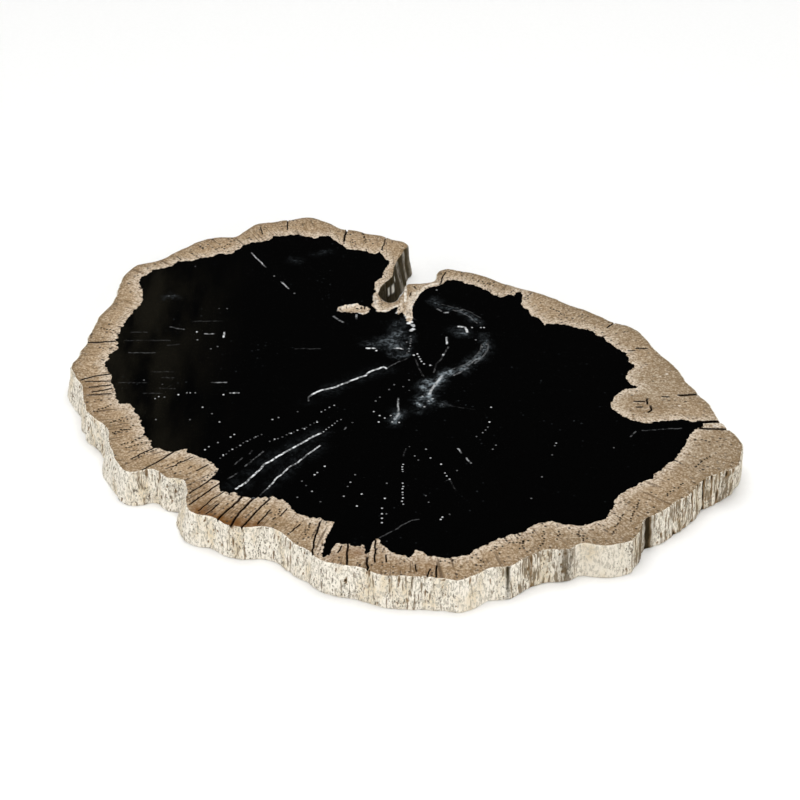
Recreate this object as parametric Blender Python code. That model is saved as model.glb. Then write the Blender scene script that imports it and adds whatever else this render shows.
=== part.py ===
"""A polished slice of petrified wood: one solid cross-section of a fossil log.

Both flat faces are saw cuts. The wall is the old bark side, fluted along the grain. A split
runs in from the back edge and ends in a pocket, a shallow hollow lies beside it in the top
face, and short shrinkage cracks open in the rim.
Units are metres, +Z is up, and the origin is under the middle of the slice.
"""
import bmesh
import bpy
import numpy as np
from mathutils import Matrix, Vector, noise

MM = 0.001

# Driving dimensions
LENGTH = 403 * MM          # across the slice, along X
THICKNESS = 22 * MM
EDGE_CHAMFER = 0.8 * MM    # worn edge between the wall and each flat face

# Relief of the wall
FLUTE_SPACING = 9 * MM     # flutes that run along the grain, from face to face
FLUTE_DEPTH = 1.6 * MM
LUMP_SIZE = 13 * MM
LUMP_DEPTH = 1.4 * MM
GRAIN_STRETCH = 0.12       # how little a flute changes over its height
WALL_RINGS = 3             # rings between the two chamfers
CURVE_STEPS = 3            # steps of the curve between two points of the bark line

WELD = 0.01 * MM
LEVEL_TOLERANCE = 0.01 * MM

# The edge of the top face in plan, mm, clockwise from the left end. It follows the lobes of
# the trunk, and runs in and out again round the split at the back.
BARK_LINE = (
    (-199, 12), (-196, 24), (-193, 37), (-193, 49), (-190, 61), (-188, 70), (-184, 79),
    (-181, 88), (-180, 99), (-179, 110), (-177, 120), (-173, 127), (-167, 131),
    (-159, 135), (-152, 141), (-145, 149), (-138, 155), (-130, 161), (-121, 165),
    (-111, 166), (-106, 171), (-100, 178), (-92, 184), (-82, 186), (-73, 188),
    (-62, 191), (-54, 189), (-46, 183), (-40, 176), (-33, 174), (-22, 170),
    (-13, 167), (-4, 163), (3, 159), (7, 154),
    # the split: in along its left side, round the pocket, out along the right side
    (4, 148), (1, 141), (-1, 134), (-3, 127), (-4, 120), (-5, 113), (-8, 107),
    (-11, 103), (-12, 97), (-12, 91), (-10, 86), (-6, 84), (-2, 86), (0, 91),
    (2, 97), (3, 103), (6, 107), (11, 108), (17, 108), (22, 110), (24, 117),
    (28, 124),
    # the right half of the back, the right end and the front
    (38, 123), (48, 120), (57, 115), (66, 108), (74, 103), (82, 100), (92, 95),
    (101, 88), (110, 81), (120, 74), (128, 67), (133, 61), (141, 58), (148, 52),
    (152, 44), (155, 35), (159, 28), (163, 19), (168, 9), (172, -1), (176, -11),
    (179, -19), (183, -26), (186, -35), (187, -44), (190, -52), (195, -59),
    (198, -69), (198, -80), (195, -89), (189, -94), (181, -98), (173, -103),
    (168, -109), (164, -116), (158, -122), (151, -128), (144, -133), (139, -136),
    (135, -141), (132, -149), (127, -157), (119, -161), (108, -162), (97, -161),
    (91, -165), (83, -166), (75, -169), (67, -173), (61, -179), (55, -181),
    (48, -182), (41, -187), (34, -191), (24, -190), (13, -189), (3, -189),
    (-8, -187), (-18, -183), (-29, -179), (-38, -176), (-46, -171), (-54, -163),
    (-61, -157), (-67, -149), (-76, -146), (-88, -146), (-97, -143), (-105, -138),
    (-113, -134), (-118, -128), (-119, -119), (-119, -110), (-122, -103),
    (-131, -100), (-138, -95), (-143, -93), (-150, -95), (-157, -92), (-162, -85),
    (-166, -75), (-168, -65), (-170, -56), (-173, -49), (-179, -42), (-184, -35),
    (-188, -27), (-190, -16), (-193, -5), (-197, 4),
)

# How far the foot of the wall stands out from the edge of the top face: a little all round,
# and more or less about these places in plan. Place, reach and overhang, mm.
FOOT_FLARE = 1.2 * MM
FLARED_PLACES = (
    (-196, 10, 17, 3.5),
    (-168, -66, 17, 4),
    (-150, -95, 14, 3),
    (-119, -112, 13, 7),
    (-1, 132, 15, 3.5),
    (194, -87, 14, -4.5),
)

# Shrinkage cracks in the rim: mouth in the wall, inner tip, half width and depth, mm
CRACKS = (
    (-197, 39, -175, 38, 0.7, 2.0),
    (-147, -98, -130, -78, 0.7, 2.2),
    (-102, -143, -88, -119, 0.8, 2.4),
    (-94, -147, -81, -120, 0.7, 2.2),
    (-87, -149, -73, -121, 0.7, 2.2),
    (-51, -170, -44, -142, 0.7, 2.0),
    (-17, -187, -18, -167, 0.7, 2.2),
    (191, -46, 176, -46, 0.7, 2.2),
    (193, -53, 175, -53, 0.7, 2.2),
    (182, -18, 166, -18, 0.6, 1.8),
    (137, 64, 130, 55, 0.6, 1.8),
    (-35, 178, -37, 160, 0.7, 2.2),
)

CRACK_CORNERS = 4          # of a crack's cutter, square across its run
CRACK_TIP_SHARE = 0.25     # size of that square at the inner tip, as a share of the mouth's

# The shallow hollow beside the pocket: middle, half length, half width and depth, mm
HOLLOW_MIDDLE = (-29, 77)
HOLLOW_HALF_LENGTH = 11
HOLLOW_HALF_WIDTH = 5.5
HOLLOW_DEPTH = 2.0
HOLLOW_TURN = -0.12        # radians
HOLLOW_SUBDIVISIONS = 3

CORE_BLACK = (0.008, 0.007, 0.006, 1.0)
POLISHED_ROUGHNESS = 0.12


def clear_scene():
    """Remove the objects that the file opened with."""
    for scene_object in list(bpy.data.objects):
        bpy.data.objects.remove(scene_object, do_unlink=True)


def new_collection(name):
    """A collection of that name under the scene's own."""
    collection = bpy.data.collections.new(name)
    bpy.context.scene.collection.children.link(collection)
    return collection


def polished_stone():
    """Black agatised wood with a polish, which is what most of the slice shows."""
    material = bpy.data.materials.new("petrified_wood")
    material.use_nodes = True
    shader = material.node_tree.nodes["Principled BSDF"]
    shader.inputs["Base Color"].default_value = CORE_BLACK
    shader.inputs["Roughness"].default_value = POLISHED_ROUGHNESS
    shader.inputs["Metallic"].default_value = 0.0
    return material


def sawn_blank(collection):
    """The blank: a smooth closed curve through the bark line, filled and raised to the thickness."""
    curve = bpy.data.curves.new("bark_line", "CURVE")
    curve.dimensions = "2D"
    curve.fill_mode = "BOTH"
    curve.extrude = THICKNESS / 2
    curve.resolution_u = CURVE_STEPS
    spline = curve.splines.new("BEZIER")
    spline.bezier_points.add(len(BARK_LINE) - 1)
    for knot, (x, y) in zip(spline.bezier_points, BARK_LINE):
        knot.co = (x * MM, y * MM, 0)
        knot.handle_left_type = "AUTO"
        knot.handle_right_type = "AUTO"
    spline.use_cyclic_u = True
    outline = bpy.data.objects.new("bark_line", curve)
    collection.objects.link(outline)
    evaluated = outline.evaluated_get(bpy.context.evaluated_depsgraph_get())
    mesh = bpy.data.meshes.new_from_object(evaluated)
    bpy.data.objects.remove(outline)
    return mesh


def on_level(vertex, level):
    """Whether a vertex lies at that height."""
    return abs(vertex.co.z - level) < LEVEL_TOLERANCE


def foot_flare(place):
    """How far the wall stands out at a point of it: nothing at the top face, most at the foot."""
    flare = FOOT_FLARE
    for x, y, reach, overhang in FLARED_PLACES:
        distance = Vector((place.x - x * MM, place.y - y * MM)).length
        flare += overhang * MM * np.exp(-(distance / (reach * MM)) ** 2)
    return flare * (1 - place.z / THICKNESS)


def wall_relief(place):
    """Swell of the wall at a point: flutes along the grain, with broken lumps over them."""
    along_grain = Vector((place.x, place.y, place.z * GRAIN_STRETCH))
    flutes = noise.noise(along_grain / FLUTE_SPACING)
    lumps = noise.noise(place / LUMP_SIZE)
    return FLUTE_DEPTH * flutes + LUMP_DEPTH * lumps


def weathered_slab(mesh):
    """Cut rings into the blank's wall, and push each point of it in or out."""
    slab = bmesh.new()
    slab.from_mesh(mesh)
    bmesh.ops.remove_doubles(slab, verts=slab.verts[:], dist=WELD)
    bmesh.ops.translate(slab, verts=slab.verts[:], vec=(0, 0, THICKNESS / 2))
    levels = np.linspace(EDGE_CHAMFER, THICKNESS - EDGE_CHAMFER, WALL_RINGS + 2)
    for level in levels:
        bmesh.ops.bisect_plane(
            slab,
            geom=slab.verts[:] + slab.edges[:] + slab.faces[:],
            dist=WELD,
            plane_co=(0, 0, level),
            plane_no=(0, 0, 1),
        )
    for level in (0, THICKNESS):
        flat = [face for face in slab.faces if all(on_level(vertex, level) for vertex in face.verts)]
        bmesh.ops.dissolve_faces(slab, faces=flat)
    bmesh.ops.recalc_face_normals(slab, faces=slab.faces[:])
    slab.normal_update()
    moves = []
    for vertex in slab.verts:
        outward = Vector((vertex.normal.x, vertex.normal.y, 0)).normalized()
        swell = wall_relief(vertex.co) + foot_flare(vertex.co)
        if on_level(vertex, 0) or on_level(vertex, THICKNESS):
            swell -= EDGE_CHAMFER
        moves.append(outward * swell)
    for vertex, move in zip(slab.verts, moves):
        vertex.co += move
    bmesh.ops.triangulate(slab, faces=[face for face in slab.faces if len(face.verts) > 4])
    slab.to_mesh(mesh)
    slab.free()


def placement(mesh):
    """The transform that gives the slice its length and puts its middle over the origin."""
    points = np.array([vertex.co for vertex in mesh.vertices])
    low = points.min(axis=0)
    high = points.max(axis=0)
    middle = (low + high) / 2
    fit = LENGTH / (high[0] - low[0])
    return Matrix.Diagonal((fit, fit, 1, 1)) @ Matrix.Translation((-middle[0], -middle[1], 0))


def crack_cutter(cutters, crack):
    """A long tapered wedge along one crack, its lower edge down in the stone."""
    mouth_x, mouth_y, tip_x, tip_y, half_width, depth = crack
    mouth = Vector((mouth_x * MM, mouth_y * MM, THICKNESS))
    tip = Vector((tip_x * MM, tip_y * MM, THICKNESS))
    along = tip - mouth
    squeeze = Matrix.Diagonal((half_width * MM, depth * MM, 1, 1))
    lay = Matrix((
        (-along.y / along.length, 0, along.x / along.length, 0),
        (along.x / along.length, 0, along.y / along.length, 0),
        (0, 1, 0, 0),
        (0, 0, 0, 1),
    ))
    bmesh.ops.create_cone(
        cutters,
        cap_ends=True,
        segments=CRACK_CORNERS,
        radius1=1,
        radius2=CRACK_TIP_SHARE,
        depth=along.length,
        matrix=Matrix.Translation((mouth + tip) / 2) @ lay @ squeeze,
    )


def cutter_object(name, cutter_mesh, collection):
    """An object that only cuts: wire in the view, left out of renders."""
    cutter = bpy.data.objects.new(name, cutter_mesh)
    cutter.display_type = "WIRE"
    cutter.hide_render = True
    collection.objects.link(cutter)
    return cutter


def cracks_and_hollow(collection, place):
    """The cutters for the rim's cracks and for the hollow in the top face."""
    cracks = bmesh.new()
    for crack in CRACKS:
        crack_cutter(cracks, crack)
    bmesh.ops.recalc_face_normals(cracks, faces=cracks.faces[:])
    crack_mesh = bpy.data.meshes.new("cracks")
    cracks.to_mesh(crack_mesh)
    cracks.free()
    crack_mesh.transform(place)

    hollow = bmesh.new()
    bmesh.ops.create_icosphere(
        hollow,
        subdivisions=HOLLOW_SUBDIVISIONS,
        radius=1,
        matrix=Matrix.Translation((HOLLOW_MIDDLE[0] * MM, HOLLOW_MIDDLE[1] * MM, THICKNESS))
        @ Matrix.Rotation(HOLLOW_TURN, 4, "Z")
        @ Matrix.Diagonal((HOLLOW_HALF_LENGTH * MM, HOLLOW_HALF_WIDTH * MM, HOLLOW_DEPTH * MM, 1)),
    )
    hollow_mesh = bpy.data.meshes.new("hollow")
    hollow.to_mesh(hollow_mesh)
    hollow.free()
    hollow_mesh.transform(place)
    return [
        cutter_object("crack_cutter", crack_mesh, collection),
        cutter_object("hollow_cutter", hollow_mesh, collection),
    ]


def main():
    """Build the slice."""
    clear_scene()
    parts = new_collection("petrified_wood_slice")
    cutters = new_collection("cutters")
    mesh = sawn_blank(parts)
    mesh.name = "petrified_wood_slice"
    weathered_slab(mesh)
    place = placement(mesh)
    mesh.transform(place)
    mesh.materials.clear()
    mesh.materials.append(polished_stone())
    wood_slice = bpy.data.objects.new("petrified_wood_slice", mesh)
    parts.objects.link(wood_slice)
    for cutter in cracks_and_hollow(cutters, place):
        cut = wood_slice.modifiers.new(cutter.name, "BOOLEAN")
        cut.operation = "DIFFERENCE"
        cut.object = cutter


main()
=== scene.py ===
"""A polished slice of petrified wood, dressed for its portrait.

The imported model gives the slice's outline, thickness and place. One closed, finely meshed
stone stands for it: a black agatised core with white silica in its gaps, a satin tan rind with
shrinkage cracks, a chalky fluted wall, and a sawn underside. Lengths are millimetres until a
mesh is made, which is in metres. Places on the slice are given in plan, from above.
"""
import logging
import math
from dataclasses import dataclass, field
from enum import Enum

import bmesh
import bpy
import numpy as np
from mathutils import Matrix, Vector
from mathutils.geometry import delaunay_2d_cdt


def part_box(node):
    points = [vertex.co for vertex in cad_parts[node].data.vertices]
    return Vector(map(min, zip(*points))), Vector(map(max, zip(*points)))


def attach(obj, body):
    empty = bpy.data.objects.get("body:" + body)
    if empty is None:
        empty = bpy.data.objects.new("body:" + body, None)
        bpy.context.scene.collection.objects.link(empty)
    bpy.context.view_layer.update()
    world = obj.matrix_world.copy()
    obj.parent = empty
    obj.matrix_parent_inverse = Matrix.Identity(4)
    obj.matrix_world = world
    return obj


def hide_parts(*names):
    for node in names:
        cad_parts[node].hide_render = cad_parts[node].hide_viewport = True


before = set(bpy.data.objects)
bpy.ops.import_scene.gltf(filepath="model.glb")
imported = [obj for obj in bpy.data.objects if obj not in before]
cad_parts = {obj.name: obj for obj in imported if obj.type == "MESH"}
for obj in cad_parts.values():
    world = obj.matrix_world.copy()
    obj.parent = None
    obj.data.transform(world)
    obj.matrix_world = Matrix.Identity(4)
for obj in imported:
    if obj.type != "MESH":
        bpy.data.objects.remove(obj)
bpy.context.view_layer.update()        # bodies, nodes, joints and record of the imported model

log = logging.getLogger("petrified_wood_slice")

NODE = "petrified_wood_slice"
BODY = "root"

MM = 0.001
WELD = 0.004               # mm, under which two points of the mesh are one
SLICE_LOW, SLICE_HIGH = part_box(NODE)
THICKNESS = (SLICE_HIGH[2] - SLICE_LOW[2]) / MM
PLAN_SHIFT = (2.3, 0.5)    # from the places below, measured from the pith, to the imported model
PITH = (-0.7, -3.0)
CHUNK = 2_000_000          # pairs of a point and a piece of line that are compared at once

Line = tuple[tuple[float, float], ...]
Size = tuple[float, float, float]             # of a pattern along X, Y and Z, mm
Band = tuple[float, ...]                      # a smooth step's low end, high end, and top if not 1
Given = bpy.types.NodeSocket | str | float | tuple[float, ...]


class Surface(Enum):
    """The finishes of the stone's faces, in the order of its material slots."""

    CORE = 0
    RIND = 1
    BARK = 2
    SAWN_CORE = 3
    SAWN_RIND = 4
    # faces in cracks and pits, near black with dirt and painted shade
    FISSURE = 5


class Stroke(Enum):
    """How silica fills a gap in the dark wood."""

    VEIN = "an unbroken line"
    BEADS = "a line of dots"
    FLECK = "one dot at each place"
    WISP = "a soft smoky stroke"


@dataclass(frozen=True)
class Mark:
    """One mark of pale silica in the core.

    Attributes:
        stroke: how it is drawn.
        strength: 0 to 1, how bright it looks, or for a wisp how much of it covers the black.
        width: how wide the line, dot or wisp is, mm.
        places: the points it passes through, mm.
    """

    stroke: Stroke
    strength: float
    width: float
    places: Line


@dataclass(frozen=True)
class Crack:
    """A shrinkage crack in the rind.

    Attributes:
        places: its course from the outside in, mm.
        half_width: half its width at the surface, mm.
        depth: how deep it is, mm.
    """

    places: Line
    half_width: float = 0.5
    depth: float = 1.5


@dataclass(frozen=True)
class Patch:
    """A soft-edged round area with a middle and a reach in mm, and a strength."""

    x: float
    y: float
    reach: float
    strength: float


CORE_BORDER: Line = (
    (-172, 60), (-169, 70), (-168, 75), (-165, 80), (-163, 87), (-164, 92), (-165, 100),
    (-167, 106), (-168, 111), (-167, 115), (-163, 118), (-160.5, 123), (-155, 125),
    (-150, 127), (-147, 129), (-146.5, 132), (-145, 133.5), (-138, 134.5), (-133, 136.5),
    (-130, 139), (-125, 139), (-122, 141), (-120, 143.5), (-110, 144), (-107, 149),
    (-104.5, 151), (-104, 155), (-95, 159), (-87, 161), (-84, 166.5), (-75, 167),
    (-72, 168.5), (-67, 168), (-63, 165.5), (-54, 164), (-53, 166.5), (-47, 166),
    (-44, 162), (-40, 158), (-37, 154), (-35, 150), (-28, 149), (-22, 147), (-20, 145),
    (-15, 144), (-13, 146.5), (-12, 144), (-10, 139), (-7, 135), (-6.5, 132), (-8, 128),
    (-10, 122), (-11, 114), (-14, 111), (-16, 106), (-16, 100), (-15, 97), (-17, 90),
    (-16.5, 85), (-17, 81), (-15, 77), (-14, 73), (-8, 73), (-5, 76), (-2, 78), (0, 79),
    (-2, 73), (-1, 70), (2, 73), (4, 68), (5, 63), (7, 60), (8.5, 66), (8, 70), (8, 80),
    (11, 88), (12, 92), (14, 96), (17, 100), (20, 103), (25, 104), (28, 106.5),
    (30, 110.5), (35, 111), (40, 110), (42, 107), (47, 106), (52, 102), (57, 98),
    (60, 93), (65, 90.5), (71, 93.5), (73, 92), (75, 96), (78, 97), (79, 94), (77, 82),
    (79, 78), (82, 74), (83, 69), (88, 66), (90, 61), (91, 56), (92, 59), (100, 59),
    (106, 57), (110, 55), (116, 53), (121, 51), (123, 46), (127, 44), (130, 38),
    (134, 32), (137, 28), (139, 27), (140, 20), (141, 15), (144, 13), (142, 10), (139, 6),
    (137, 0), (138, -3), (139, -8), (144, -10), (140, -12), (135, -13), (131, -17),
    (128, -22), (126, -27), (126, -34), (129, -37), (136, -44), (144, -48), (147, -48),
    (150, -46), (160, -45), (167, -44), (173, -46.5), (178, -46), (187, -45.6),
    (187, -46.8), (178, -47.8), (178, -51), (173, -54), (171, -57), (169, -60),
    (167, -65), (165, -70), (163, -75), (160, -80), (156, -86), (153, -88), (150, -93),
    (145, -98), (144, -102), (140, -103), (137, -105), (134, -108), (130, -111),
    (127, -113), (123, -118), (120, -123), (120, -128), (117, -131), (116, -136),
    (114, -139), (110, -140.5), (104, -143.5), (100, -145), (91, -143), (84, -141),
    (78, -142), (74, -144), (71, -147), (69, -150), (60, -153), (50, -159), (48.5, -161),
    (44, -163), (40, -167), (38, -170), (25, -173), (16, -171), (14, -168), (10, -166),
    (8, -167), (5, -172), (-2, -170), (-6, -165), (-9, -161), (-10, -158), (-12, -157),
    (-14.5, -160), (-16, -165), (-18, -170), (-19, -163), (-20, -161), (-25, -163),
    (-31, -160), (-33, -160), (-36, -163), (-38, -168), (-41, -172), (-42, -169),
    (-40, -155), (-38, -147), (-36, -142), (-40, -141), (-44, -138), (-49, -137),
    (-55, -135), (-58, -132), (-61, -127), (-63, -122), (-70, -119), (-82, -119),
    (-90, -118), (-93, -115), (-96, -117), (-101, -111), (-101, -104), (-104, -102),
    (-108, -102), (-106, -99), (-103, -94), (-104, -91), (-109, -85), (-113, -82),
    (-118, -79), (-121, -77), (-123, -74), (-127, -75), (-130, -77), (-137, -74),
    (-141, -73), (-143, -71), (-144, -66), (-149, -60), (-150, -53), (-152, -46),
    (-154, -40), (-157, -34), (-160, -28), (-166, -29), (-168.5, -24), (-170, -18),
    (-172.5, -8), (-175, 2), (-177, 6), (-178, 11), (-180, 15), (-178, 20), (-178, 24),
    (-177, 27), (-174, 29), (-173.5, 33), (-174.5, 38), (-175, 42), (-174, 48), (-174, 55),
)
"""Where the black core meets the tan rind, clockwise from the left end."""

ISLAND: Line = (
    (-40, 74), (-38, 79), (-34, 81), (-27, 83), (-24, 80), (-20, 79), (-18, 76), (-20, 72),
    (-23, 70), (-26, 72), (-36, 73),
)
"""The tan island round the hollow, beside the split."""

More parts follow.
